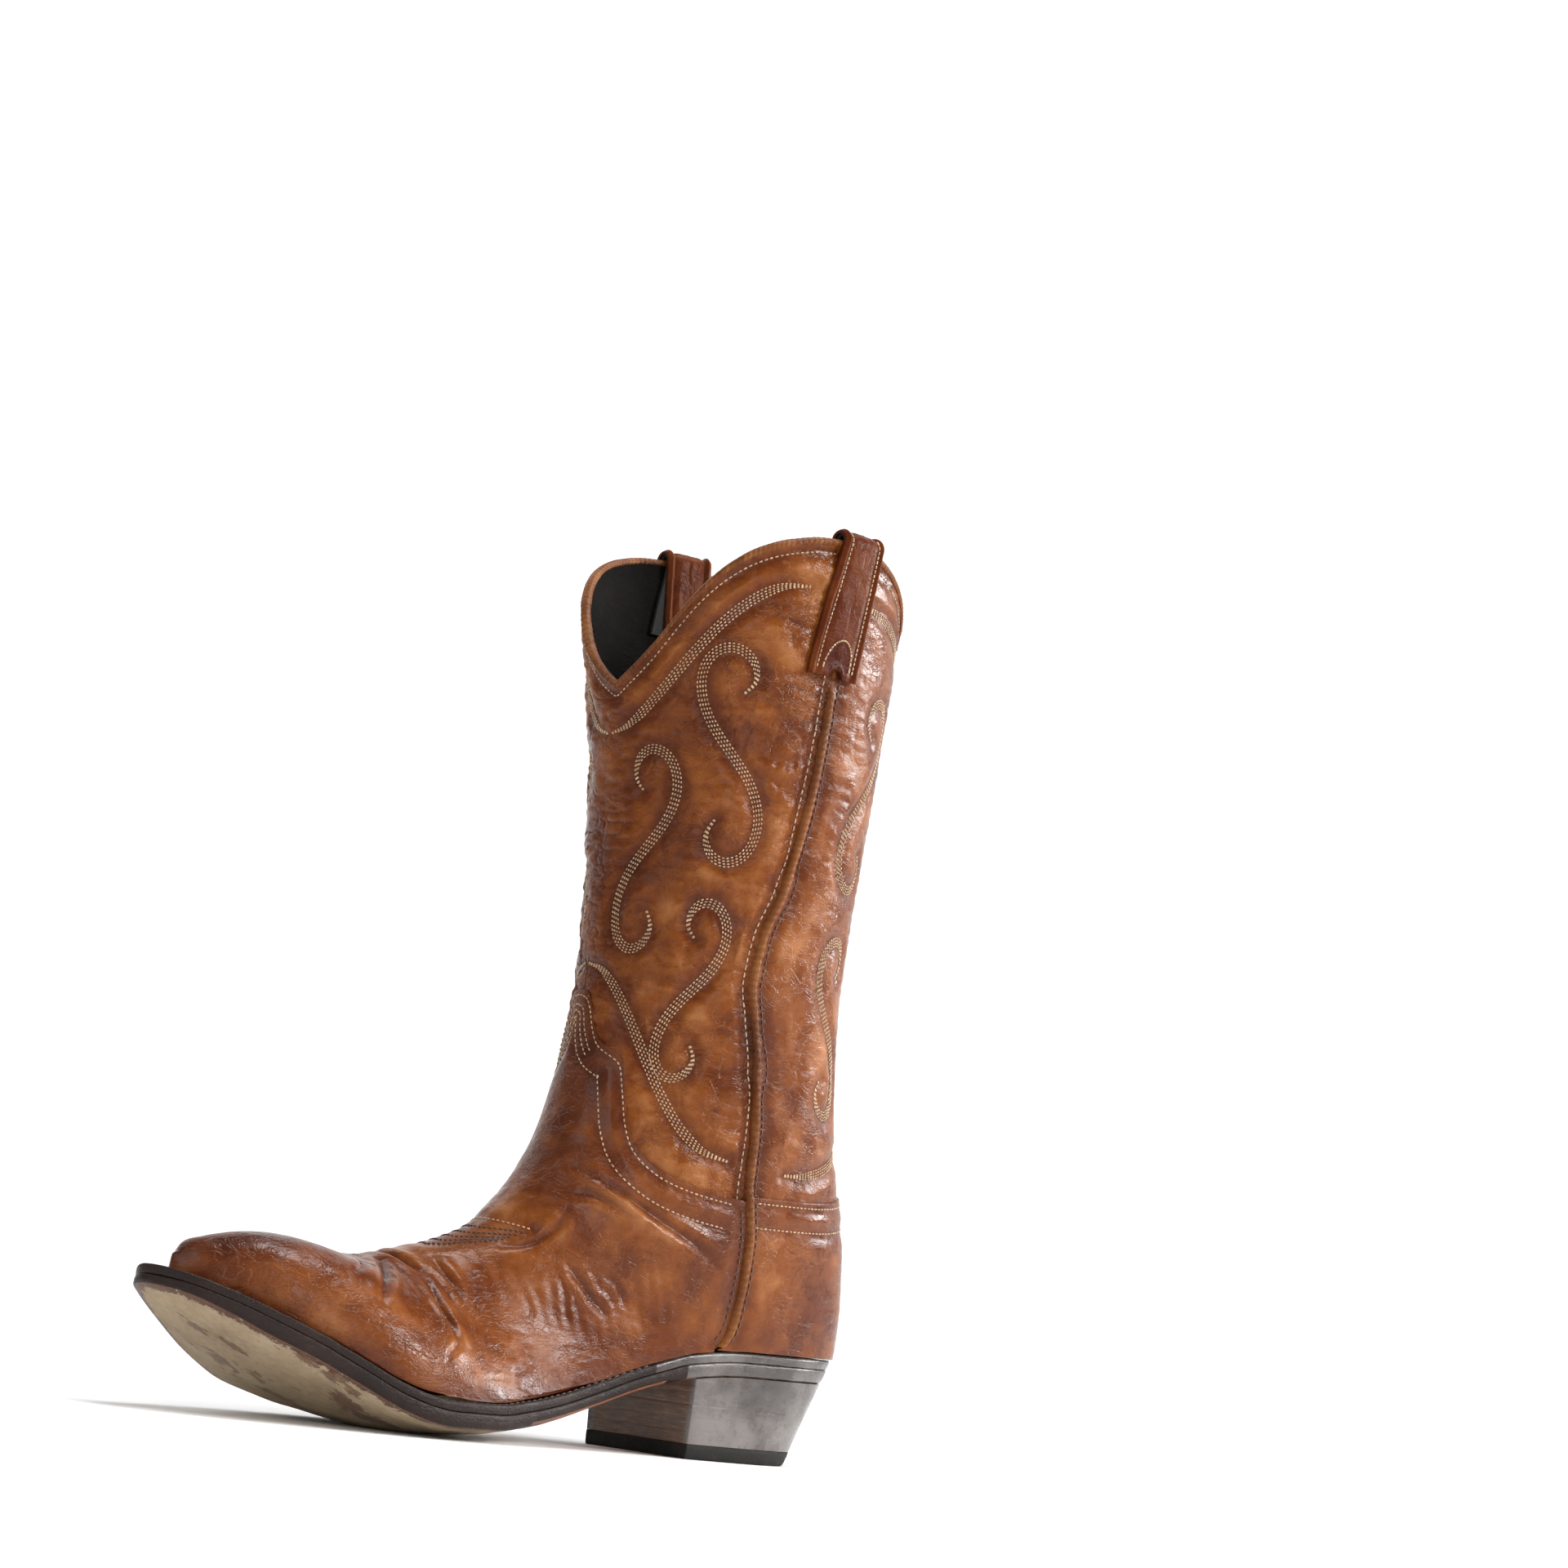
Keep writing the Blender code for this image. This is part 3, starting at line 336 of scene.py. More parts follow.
def value_noise(points, size, seed=0):
    """Smooth noise from -1 to 1; size is in millimetres along x, f and z."""
    p = np.asarray(points, float) / np.asarray(size, float) + 1000.0
    i = np.floor(p).astype(np.int64)
    u = p - i
    u = u * u * u * (u * (u * 6 - 15) + 10)
    total = 0
    for dx in (0, 1):
        for dy in (0, 1):
            for dz in (0, 1):
                weight = (
                    (u[..., 0] if dx else 1 - u[..., 0])
                    * (u[..., 1] if dy else 1 - u[..., 1])
                    * (u[..., 2] if dz else 1 - u[..., 2])
                )
                total = total + weight * hashed(i[..., 0] + dx, i[..., 1] + dy, i[..., 2] + dz, seed)
    return total


def nearest(tree_points, points):
    """(distance, index) of the nearest of tree_points to each point."""
    tree = kdtree.KDTree(len(tree_points))
    for i, p in enumerate(tree_points):
        tree.insert(p, i)
    tree.balance()
    found = [tree.find(p)[1:] for p in points.reshape(-1, 3)]
    index = np.array([f[0] for f in found])
    distance = np.array([f[1] for f in found])
    return distance.reshape(points.shape[:-1]), index.reshape(points.shape[:-1])


# --- materials -------------------------------------------------------------------------------------------------------


class Graph:
    """A short way to write a node tree."""

    def __init__(self, name):
        self.material = bpy.data.materials.new(name)
        self.material.use_nodes = True
        self.tree = self.material.node_tree
        self.shader = self.tree.nodes["Principled BSDF"]

    def add(self, kind, inputs=None, **settings):
        node = self.tree.nodes.new(kind)
        for key, value in settings.items():
            setattr(node, key, value)
        for key, value in (inputs or {}).items():
            self.put(node.inputs[key], value)
        return node

    def put(self, socket, value):
        if isinstance(value, bpy.types.NodeSocket):
            self.tree.links.new(value, socket)
        elif isinstance(value, bpy.types.Node):
            self.tree.links.new(value.outputs[0], socket)
        else:
            socket.default_value = value

    def field(self, name):
        node = self.add("ShaderNodeAttribute", attribute_name=name)
        return node.outputs["Vector"] if name == "rest" else node.outputs["Fac"]

    def math(self, operation, a, b=0.0, clamp=False):
        return self.add("ShaderNodeMath", {0: a, 1: b}, operation=operation, use_clamp=clamp).outputs[0]

    def vector(self, operation, a, b):
        return self.add("ShaderNodeVectorMath", {0: a, 1: b}, operation=operation).outputs[0]

    def noise(self, vector, scale, detail=3.0, rough=0.55, colour=False, distortion=0.0):
        node = self.add("ShaderNodeTexNoise", {"Vector": vector, "Scale": scale, "Detail": detail, "Roughness": rough,
                                               "Distortion": distortion})
        return node.outputs["Color" if colour else "Fac"]

    def cells(self, vector, scale, feature="DISTANCE_TO_EDGE", randomness=1.0):
        return self.add("ShaderNodeTexVoronoi", {"Vector": vector, "Scale": scale, "Randomness": randomness},
                        feature=feature).outputs["Distance"]

    def spread(self, value, low, high, to_low=0.0, to_high=1.0):
        return self.add("ShaderNodeMapRange", {"Value": value, "From Min": low, "From Max": high, "To Min": to_low,
                                               "To Max": to_high}, interpolation_type="SMOOTHSTEP").outputs["Result"]

    def colours(self, value, stops):
        node = self.add("ShaderNodeValToRGB", {"Fac": value})
        elements = node.color_ramp.elements
        while len(elements) < len(stops):
            elements.new(0.5)
        for element, (place, colour) in zip(elements, stops):
            element.position, element.color = place, (*colour, 1)
        return node.outputs["Color"]

    def mix(self, share, a, b, how="MIX"):
        node = self.add("ShaderNodeMix", data_type="RGBA", blend_type=how)
        for key, value in ((0, share), (6, a), (7, b)):
            self.put(node.inputs[key], (*value, 1) if isinstance(value, tuple) and len(value) == 3 else value)
        return node.outputs[2]

    def bump(self, height, distance, strength=1.0, normal=None):
        inputs = {"Height": height, "Distance": distance, "Strength": strength}
        if normal is not None:
            inputs["Normal"] = normal
        return self.add("ShaderNodeBump", inputs).outputs["Normal"]

    def done(self, colour, roughness, normal=None, **fixed):
        self.put(self.shader.inputs["Base Color"], colour)
        self.put(self.shader.inputs["Roughness"], roughness)
        if normal is not None:
            self.put(self.shader.inputs["Normal"], normal)
        for key, value in fixed.items():
            self.shader.inputs[key.replace("_", " ")].default_value = value
        return self.material


def leather(name, dark, middle, bright, pale, gloss=0.25, line=0.5, coat=0.0, specular=0.17, relief=0.0006):
    """Waxed pull-up leather: cloudy colour, fine creases that show pale, and pores."""
    g = Graph(name)
    rest = g.field("rest")
    warp = g.vector("MULTIPLY", g.vector("SUBTRACT", g.noise(rest, 0.07, 2.0, colour=True), (0.5, 0.5, 0.5)), (16, 16, 9))
    bent = g.vector("ADD", rest, warp)
    flat = g.vector("MULTIPLY", bent, (1.0, 1.0, 2.1))
    cloud = g.noise(rest, 0.021, 5.0, 0.62)
    mottle = g.noise(bent, 0.085, 5.0, 0.62)
    tone = g.math("ADD", g.math("MULTIPLY", cloud, 0.62), g.math("MULTIPLY", mottle, 0.38))
    # The tone field moves the colour along the ramp; on the upper it also carries painted shade and light that follow
    # the relief.
    tone = g.math("ADD", tone, g.field("tone"))
    colour = g.colours(tone, ((0.30, dark), (0.47, middle), (0.60, bright), (0.78, pale)))
    crack = g.spread(g.cells(flat, 0.10), 0.0, 0.035, 1.0, 0.0)
    fine = g.spread(g.cells(flat, 0.27), 0.0, 0.05, 1.0, 0.0)
    where = g.spread(g.noise(rest, 0.035, 3.0), 0.44, 0.66)
    crack = g.math("MULTIPLY", crack, where)
    fine = g.math("MULTIPLY", fine, g.spread(g.noise(rest, 0.06, 3.0, distortion=0.4), 0.42, 0.70))
    lines = g.math("MAXIMUM", crack, g.math("MULTIPLY", fine, 0.6))
    colour = g.mix(g.math("MULTIPLY", lines, line * 0.55), colour, pale)
    colour = g.mix(g.math("MULTIPLY", g.field("wear"), 0.75, True), colour, pale)
    soft = g.noise(g.vector("MULTIPLY", bent, (0.8, 0.8, 1.9)), 0.19, 4.0, 0.6)
    pores = g.cells(rest, 1.5, "F1")
    grain = g.noise(rest, 1.1, 3.0, 0.6)
    ripple = g.math("ABSOLUTE", g.math("SUBTRACT", g.noise(g.vector("MULTIPLY", bent, (0.9, 0.9, 2.2)), 0.16, 3.0, 0.5), 0.5))
    ripple = g.math("MULTIPLY", g.spread(ripple, 0.0, 0.05, -1.0, 0.0), where)
    height = g.math("ADD", g.math("MULTIPLY", soft, 0.9), g.math("MULTIPLY", lines, -0.30))
    height = g.math("ADD", height, g.math("MULTIPLY", ripple, 0.28))
    height = g.math("ADD", height, g.math("MULTIPLY", pores, 0.05))
    height = g.math("ADD", height, g.math("MULTIPLY", grain, 0.10))
    roughness = g.math("ADD", g.spread(mottle, 0.3, 0.75, gloss - 0.07, gloss + 0.12), g.math("MULTIPLY", lines, 0.15))
    return g.done(colour, roughness, g.bump(height, relief), Coat_Weight=coat, Coat_Roughness=0.18,
                  Specular_IOR_Level=specular)


def thread(name, light, deep):
    g = Graph(name)
    rest = g.field("rest")
    shade = g.noise(rest, 0.6, 2.0)
    colour = g.mix(g.spread(shade, 0.35, 0.65), deep, light)
    twist = g.noise(rest, 3.0, 2.0)
    return g.done(colour, 0.62, g.bump(twist, 0.0002), Sheen_Weight=0.25)


LEATHER = leather("cognac_leather", (0.048, 0.0092, 0.0017), (0.098, 0.0205, 0.0034), (0.185, 0.0490, 0.0064),
                  (0.34, 0.135, 0.042))
SMOOTH = leather("smooth_leather", (0.050, 0.0096, 0.0017), (0.106, 0.0225, 0.0034), (0.180, 0.0470, 0.0060),
                 (0.34, 0.13, 0.040), gloss=0.27, line=0.20, specular=0.24, relief=0.00030)
STRAP = leather("strap_leather", (0.040, 0.0062, 0.0020), (0.088, 0.0170, 0.0038), (0.130, 0.031, 0.0058),
                (0.32, 0.12, 0.045), gloss=0.34, line=0.35, specular=0.07)
PIPING = leather("edge_leather", (0.060, 0.0150, 0.0045), (0.135, 0.040, 0.009), (0.20, 0.068, 0.016), (0.36, 0.16, 0.06),
                 gloss=0.36, line=0.5, specular=0.15)
LINING = leather("lining_leather", (0.0035, 0.003, 0.0028), (0.006, 0.0052, 0.0048), (0.009, 0.008, 0.0074),
                 (0.02, 0.017, 0.015), gloss=0.75, line=0.2, specular=0.03)
THREAD = thread("thread", (0.60, 0.42, 0.25), (0.36, 0.215, 0.11))
DARK_THREAD = thread("dark_thread", (0.075, 0.027, 0.011), (0.036, 0.013, 0.006))


def sole_edge():
    g = Graph("edge_dressing")
    rest = g.field("rest")
    long = g.vector("MULTIPLY", rest, (0.35, 0.35, 2.2))
    streak = g.noise(long, 0.5, 4.0, 0.65)
    blotch = g.noise(rest, 0.05, 4.0, 0.6)
    colour = g.colours(g.math("ADD", g.math("MULTIPLY", streak, 0.4), g.math("MULTIPLY", blotch, 0.6)),
                       ((0.3, (0.008, 0.0042, 0.0032)), (0.55, (0.021, 0.0108, 0.0082)), (0.8, (0.048, 0.026, 0.019))))
    rub = g.spread(g.math("ADD", g.field("wear"), g.math("MULTIPLY", g.noise(rest, 0.35, 4.0, 0.7), 0.9)), 1.05, 1.30)
    colour = g.mix(rub, colour, (0.30, 0.20, 0.115))
    rough = g.spread(streak, 0.3, 0.7, 0.30, 0.52)
    return g.done(colour, rough, g.bump(g.math("ADD", streak, g.noise(rest, 1.3, 2.0)), 0.00022), Specular_IOR_Level=0.2)


def sole_bottom():
    """Vegetable-tanned sole leather: the dark finish has worn off except near the rim and in patches."""
    g = Graph("worn_sole_leather")
    rest = g.field("rest")
    ragged = g.noise(rest, 0.30, 6.0, 0.72)
    patch_noise = g.noise(g.vector("MULTIPLY", rest, (1.6, 0.8, 1.0)), 0.045, 6.0, 0.7)
    rim = g.math("ADD", g.field("wear"), g.math("MULTIPLY", g.math("SUBTRACT", ragged, 0.5), 1.1))
    bare = g.spread(rim, 0.26, 0.36)
    bare = g.math("MULTIPLY", bare, g.spread(patch_noise, 0.395, 0.425, 0.25, 1.0))
    fibre = g.noise(g.vector("MULTIPLY", rest, (1.0, 0.5, 1.0)), 0.5, 5.0, 0.7)
    tan = g.colours(g.math("ADD", g.math("MULTIPLY", g.noise(rest, 0.04, 4.0), 0.6), g.math("MULTIPLY", fibre, 0.4)),
                    ((0.30, (0.235, 0.165, 0.098)), (0.5, (0.36, 0.268, 0.168)), (0.72, (0.47, 0.37, 0.25))))
    finish = g.colours(fibre, ((0.3, (0.060, 0.024, 0.012)), (0.7, (0.14, 0.055, 0.024))))
    waist = g.colours(fibre, ((0.3, (0.20, 0.058, 0.022)), (0.7, (0.34, 0.125, 0.052))))
    finish = g.mix(g.field("tone"), finish, waist)
    colour = g.mix(bare, finish, tan)
    scratch = g.noise(g.vector("MULTIPLY", rest, (3.0, 0.25, 1.0)), 0.7, 4.0, 0.7)
    height = g.math("ADD", g.math("MULTIPLY", fibre, 0.6), g.math("MULTIPLY", scratch, 0.5))
    height = g.math("SUBTRACT", height, g.math("MULTIPLY", bare, 0.6))
    return g.done(colour, g.spread(bare, 0.0, 1.0, 0.45, 0.82), g.bump(height, 0.0004))


def stacked(name):
    """Leather lifts, stained nearly black and burnished, with the layer lines, rubbed patches, and grey patches of
    painted reflection where the seat field allows.
    """
    g = Graph(name)
    rest = g.field("rest")
    streak = g.noise(g.vector("MULTIPLY", rest, (0.25, 0.25, 3.0)), 0.45, 5.0, 0.7)
    scuff = g.noise(g.vector("MULTIPLY", rest, (0.7, 0.7, 1.0)), 0.22, 6.0, 0.75)
    blotch = g.noise(rest, 0.045, 3.0, 0.5)
    colour = g.colours(g.math("ADD", g.math("MULTIPLY", streak, 0.5), g.math("MULTIPLY", blotch, 0.5)),
                       ((0.3, (0.012, 0.0072, 0.0060)), (0.55, (0.034, 0.0205, 0.0165)), (0.78, (0.085, 0.055, 0.044))))
    # Painted reflection: grey patches stand in for the side lamp's reflection on the glossy heel side; the seat field
    # holds how far they reach.
    painted_reflection_patches = g.spread(g.math("ADD", g.math("MULTIPLY", scuff, 0.3), g.math("MULTIPLY", blotch, 0.7)), 0.36, 0.66, 0.1, 0.9)
    colour = g.mix(g.math("MULTIPLY", painted_reflection_patches, g.field("seat")), colour, (0.18, 0.160, 0.148))
    raw = g.colours(g.math("ADD", g.math("MULTIPLY", streak, 0.6), g.math("MULTIPLY", scuff, 0.4)),
                    ((0.32, (0.030, 0.014, 0.007)), (0.52, (0.125, 0.066, 0.034)), (0.72, (0.25, 0.15, 0.085))))
    colour = g.mix(g.field("wear"), colour, raw)
    rough = g.math("ADD", g.spread(scuff, 0.35, 0.7, 0.24, 0.40), g.math("MULTIPLY", g.field("wear"), 0.3))
    return g.done(colour, rough, g.bump(g.math("ADD", streak, g.math("MULTIPLY", scuff, 0.6)), 0.00014),
                  Coat_Weight=0.3, Coat_Roughness=0.2)


def rubber():
    g = Graph("heel_rubber")
    rest = g.field("rest")
    grit = g.noise(rest, 1.2, 4.0, 0.7)
    scuff = g.noise(g.vector("MULTIPLY", rest, (1, 1, 0.5)), 0.25, 5.0, 0.7)
    colour = g.colours(scuff, ((0.35, (0.010, 0.0095, 0.009)), (0.6, (0.020, 0.018, 0.017)), (0.75, (0.045, 0.040, 0.036))))
    return g.done(colour, g.spread(scuff, 0.3, 0.7, 0.5, 0.75), g.bump(grit, 0.0003), Specular_IOR_Level=0.15)


def plain(name, low, high, roughness, scale=0.4, metallic=0.0):
    g = Graph(name)
    where = g.add("ShaderNodeTexCoord").outputs["Object"]
    mottled = g.noise(g.vector("MULTIPLY", where, (1000, 1000, 1000)), scale, 4.0, 0.65)
    colour = g.mix(g.spread(mottled, 0.3, 0.7), low, high)
    return g.done(colour, g.spread(mottled, 0.3, 0.7, roughness - 0.05, roughness + 0.1), g.bump(mottled, 0.0003),
                  Metallic=metallic)


EDGE, BOTTOM, STACK, RUBBER = sole_edge(), sole_bottom(), stacked("stacked_heel"), rubber()

INNER = {
    "lining_leather": plain("inner_lining", (0.008, 0.006, 0.005), (0.020, 0.015, 0.012), 0.6, 0.25),
    "sole_leather": plain("insole_leather", (0.26, 0.17, 0.09), (0.40, 0.29, 0.17), 0.7, 0.2),
    "cork": plain("cork", (0.16, 0.085, 0.04), (0.36, 0.21, 0.11), 0.85, 0.7),
    "wood": plain("peg_wood", (0.36, 0.23, 0.11), (0.52, 0.37, 0.19), 0.6, 0.8),
    "steel": plain("steel", (0.35, 0.35, 0.36), (0.55, 0.55, 0.56), 0.32, 0.6, 1.0),
}

# --- the upper: layout of edges, seams and stitching -----------------------------------------------------------------

SEAM = ((0, 98.5), (1, 96.5), (2, 94), (3, 88.5), (3.5, 82), (4, 80.5), (4.4, 84), (5, 89), (6, 91.5), (7, 92),
        (8, 93.6), (9, 92.8), (9.5, 91.8), (10, 90.3))


def seam_angle(t):
    return smooth_line(SEAM, t)


def mean_length():
    t = np.linspace(0, LAST_ARCH, 460)
    angle = np.linspace(0, 90, 7)
    steps = np.linalg.norm(np.diff(master(t[:, None], angle[None, :]), axis=0), axis=-1).mean(1)
    return t, np.concatenate([[0], np.cumsum(steps)])


LENGTH_T, LENGTH_S = mean_length()


def even_rows(start, stop, rows):
    """t from start to stop in each column, evenly spaced along the leather."""
    a, b = np.interp(start, LENGTH_T, LENGTH_S), np.interp(stop, LENGTH_T, LENGTH_S)
    return np.interp(a + (b - a) * np.linspace(0, 1, rows)[:, None], LENGTH_S, LENGTH_T)


def fine_patch(side_from, side_to, t_from, t_to, rows, columns):
    u = np.linspace(0, 1, columns)[None, :]
    t = np.full((rows, columns), 4.0)
    angle = None
    for _ in range(6):
        angle = side_from(t) + (side_to(t) - side_from(t)) * u
        t = even_rows(t_from(angle[0]), t_to(angle[-1]), rows)
    return t, angle


def curve_through(points, per=14):
    """A smooth line through the points."""
    p = np.array(points, float)
    p = np.vstack([2 * p[:1] - p[1:2], p, 2 * p[-1:] - p[-2:-1]])
    u = np.linspace(0, 1, per, endpoint=False)[:, None]
    out = [0.5 * (2 * b + (c - a) * u + (2 * a - 5 * b + 4 * c - d) * u**2 + (3 * b - a - 3 * c + d) * u**3)
           for a, b, c, d in zip(p, p[1:], p[2:], p[3:])]
    return np.vstack(out + [p[-2:-1]])


def on_height(points, smooth=True):
    """(t, angle) along a line given as (angle, height)."""
    line = curve_through(points) if smooth else np.array(points, float)
    return np.stack([solve_t(line[:, 0], lambda p: p[..., 2] - line[:, 1], 0, 12), line[:, 0]], -1)


def paced(line, pitch):
    """The line with points every pitch millimetres along the leather."""
    p = master(line[:, 0], line[:, 1])
    s = np.concatenate([[0], np.cumsum(np.linalg.norm(np.diff(p, axis=0), axis=1))])
    count = max(int(round(s[-1] / pitch)), 1) + 1
    even = np.linspace(0, s[-1], count)
    return np.stack([np.interp(even, s, line[:, k]) for k in range(2)], -1)


def beside(line, side):
    """The line moved sideways over the leather by side millimetres."""
    t, angle = line[:, 0], line[:, 1]
    p = master(t, angle)
    run = np.gradient(p, axis=0)
    by_t = (master(t + 0.02, angle) - master(t - 0.02, angle)) / 0.04
    by_angle = master(t, angle + 0.5) - master(t, angle - 0.5)
    way = np.cross(normal_at(t, angle), run)
    way *= (np.asarray(side, float) / (np.linalg.norm(way, axis=1) + 1e-9))[:, None]
    tt, ta, aa = np.sum(by_t * by_t, 1), np.sum(by_t * by_angle, 1), np.sum(by_angle * by_angle, 1)
    wt, wa = np.sum(way * by_t, 1), np.sum(way * by_angle, 1)
    det = tt * aa - ta * ta + 1e-9
    return np.stack([t + (wt * aa - wa * ta) / det, angle + (wa * tt - wt * ta) / det], -1)


# The stitched pattern is a plain one: S scrolls worked out as Euler spirals, between two arches. Each is a list of
# (degrees round from the front, height) on the inner side of the shaft, and the outer side mirrors it.
SCROLL_TURN = math.radians(288)
SCROLL_STEPS = 40
MM_PER_DEGREE = 0.95


def s_scroll(angle, z, reach, side=1):
    """An upright S about (angle, z) whose two ends curl in. Each half is reach long, and side -1 turns it over."""
    share = np.linspace(-1, 1, 2 * SCROLL_STEPS + 1)
    heading = math.radians(45) + SCROLL_TURN * share**2
    step = reach / SCROLL_STEPS * np.stack([np.cos(heading), np.sin(heading)], -1)
    path = np.cumsum(step, axis=0)
    path -= path[SCROLL_STEPS]
    points = np.stack([angle + side * path[:, 0] / MM_PER_DEGREE, z + path[:, 1]], -1)[::4]
    return [tuple(point) for point in points.tolist()]


def arch(start, end, steps=8):
    """A rise or a fall from start to end, level at both, as (angle, z) points."""
    share = np.linspace(0, 1, steps + 1)
    ease = (1 - np.cos(math.pi * share)) / 2
    return [(start[0] + (end[0] - start[0]) * a, start[1] + (end[1] - start[1]) * b)
            for a, b in zip(share.tolist(), ease.tolist())]


FRONT_SCROLLS = (
    arch((-6, 255), (84, 314)),
    arch((-10, 172), (84, 106)),
    s_scroll(20, 214, 68),
    s_scroll(56, 250, 72, -1),
    s_scroll(53, 165, 60),
)
BACK_SCROLLS = (
    arch((104, 312), (172, 294)),
    arch((104, 104), (172, 118)),
    s_scroll(128, 246, 66),
    s_scroll(126, 160, 60, -1),
)
BAND = (-1.5, -0.5, 0.5, 1.5)
PITCH = 1.65


class Threads:
    """Rows of stitches on one piece, and the grooves that they pull into its leather."""

    def __init__(self):
        self.rows, self.dark, self.line, self.half = [], [], [], []

    def row(self, line, pitch=2.1, half=0.35, dark=False):
        line = paced(line, pitch)
        (self.dark if dark else self.rows).append(line)
        self.groove(line, half)

    def groove(self, line, half):
        line = paced(line, 1.1)
        self.line.append(line)
        self.half.append(np.broadcast_to(half, len(line)) if np.ndim(half) == 0 else half)

    def band(self, line, offsets=BAND, ends=(0.16, 0.16)):
        line = paced(line, 1.2)
        s = np.linspace(0, 1, len(line))
        length = 1.2 * len(line)
        taper = np.minimum(ends[0] + (1 - ends[0]) * ramp(s * length, 0, 20),
                           ends[1] + (1 - ends[1]) * ramp((1 - s) * length, 0, 20))
        for side in offsets:
            self.rows.append(paced(beside(line, side * taper), PITCH))
        self.line.append(line)
        self.half.append((abs(offsets[0]) + 0.35) * taper)

    def to_line(self, t, angle, points):
        """Distance in millimetres from each point to the edge of the nearest stitched band."""
        line = np.vstack(self.line)
        half = np.concatenate(self.half)
        distance, index = nearest(master(line[:, 0], line[:, 1]), points)
        return distance - half[index]


def middle_angle(t):
    """Where the front's middle runs: the worn shaft has turned a little to the outer side low down."""
    z = master(t, 0.0)[..., 2]
    return smooth_line(((150, -12), (205, -11), (240, -8), (274, 0)), z)


def both_sides(points):
    """A scroll and its mirror image, each stopped at the front's middle."""
    line = on_height(points)
    centre = middle_angle(line[:, 0])
    line[:, 1] = np.maximum(line[:, 1], centre + 1.5)
    keep = np.concatenate([[True], np.linalg.norm(np.diff(line, axis=0), axis=1) > 0.004])
    line, centre = line[keep], centre[keep]
    return line, np.stack([line[:, 0], 2 * centre - line[:, 1]], -1)


FRONT, BACK, VAMP, COUNTER = Threads(), Threads(), Threads(), Threads()
for scroll in FRONT_SCROLLS:
    for line in both_sides(scroll):
        FRONT.band(line)
for scroll in BACK_SCROLLS:
    inner = on_height(scroll)
    BACK.band(inner)
    BACK.band(np.stack([inner[:, 0], 360 - inner[:, 1]], -1))
BACK.band(on_height(((180, 276), (180, 255), (180, 238))), ends=(0.3, 0.3))
for x in (0, 9, 18):
    BACK.band(on_height(((180 - 24 + x, 236 - 3 * x), (168, 214 - 3 * x), (180, 204 - 3 * x), (192, 214 - 3 * x),
                         (204 - x, 236 - 3 * x))))


def along_seam(sign, side, t_from, t_to, back=False):
    """A line beside a side seam; side is how far from the seam in millimetres, forwards when positive."""
    t = np.linspace(t_from, t_to, 160)
    angle = sign * (seam_angle(t) - beside_seam(t, side))
    if back and sign < 0:
        angle = angle + 360
    return np.stack([t, angle], -1)


def along_level(edge, drop, angle_from, angle_to, high=LAST_RING):
    angle = np.linspace(angle_from, angle_to, 160)
    return np.stack([level(edge, drop, high)(angle), angle], -1)


for sign in (1, -1):
    FRONT.row(along_seam(sign, 3.9, 0.35, 7.2), 2.7)
    BACK.row(along_seam(sign, -3.9, 0.35, 7.2, True), 2.7, dark=True)
    VAMP.row(along_seam(sign, 3.4, 7.35, 9.8), 2.9, dark=True)
    COUNTER.row(along_seam(sign, -3.4, 7.15, 9.8, True), 2.9, dark=True)
FRONT.row(along_level(TOP_EDGE, 5.2, -92, 92))
BACK.row(along_level(TOP_EDGE, 5.2, 102, 258))
VAMP.row(along_level(VAMP_LINE, 2.3, -88, 88, 12))
VAMP.row(beside(along_level(VAMP_LINE, 2.3, -87, 87, 12), 9.0))
for inset in (3.6, 6.0):
    VAMP.row(beside(along_level(VAMP_LINE, 2.3, -33, 11, 12), inset))
for drop in (2.2, 11.0):
    COUNTER.row(along_level(COUNTER_EDGE, drop, 94.5, 265.5))
# The stitched ridges over the instep, and their point towards the inner side.
for k in range(6):
    start, stop = 9.6 + 0.37 * k, 9.45 + 0.15 * k
    VAMP.row(curve_through(((start + 0.3, -44), (start + 0.12, -24), (start, -6), (start - 0.02, 7), (stop, 27 - k))),
             1.8, dark=k > 0)

# --- folds across the vamp -------------------------------------------------------------------------------------------

# (depth, width, line of (t, angle)); a fold is a valley with a swelling on each side.
FOLDS = (
    (1.7, 2.0, ((13.0, -8), (13.0, 6), (13.05, 18), (13.1, 28))),
    (1.9, 2.2, ((13.7, 14), (14.6, 27), (15.6, 40), (16.5, 54))),
    (1.6, 1.9, ((13.5, 37), (14.1, 49), (14.5, 60), (14.9, 67))),
    (1.1, 1.6, ((14.7, 66), (15.4, 72), (15.7, 77))),
    (1.5, 2.0, ((9.9, 46), (10.4, 57), (10.8, 68))),
    (1.0, 1.5, ((9.7, 56), (9.8, 61), (10.2, 66))),
    (1.7, 2.4, ((7.6, 24), (7.8, 45), (8.1, 64), (8.3, 79), (8.5, 87))),
    (1.2, 1.8, ((8.25, 27), (8.1, 40), (8.3, 56))),
    (1.3, 1.8, ((10.4, 26), (9.9, 31), (9.2, 34), (8.6, 33))),
    (1.3, 1.9, ((12.2, 20), (12.6, 33), (13.0, 45))),
    (0.8, 1.4, ((15.2, 20), (15.8, 30), (16.6, 40))),
    (0.8, 1.5, ((14.0, -22), (14.1, -6), (14.2, 8))),
    (1.5, 2.0, ((13.0, -8), (13.1, -22), (13.3, -36), (13.6, -52))),
    (1.8, 2.2, ((13.6, -20), (14.5, -33), (15.5, -46), (16.4, -60))),
    (1.5, 1.9, ((12.2, -26), (12.8, -42), (13.6, -58), (14.4, -68))),
    (1.5, 2.2, ((7.7, -30), (7.9, -50), (8.2, -68), (8.5, -84))),
    (1.4, 2.0, ((9.9, -46), (10.4, -57), (10.8, -68))),
    (1.0, 1.5, ((9.2, -50), (9.1, -62), (9.3, -76))),
)


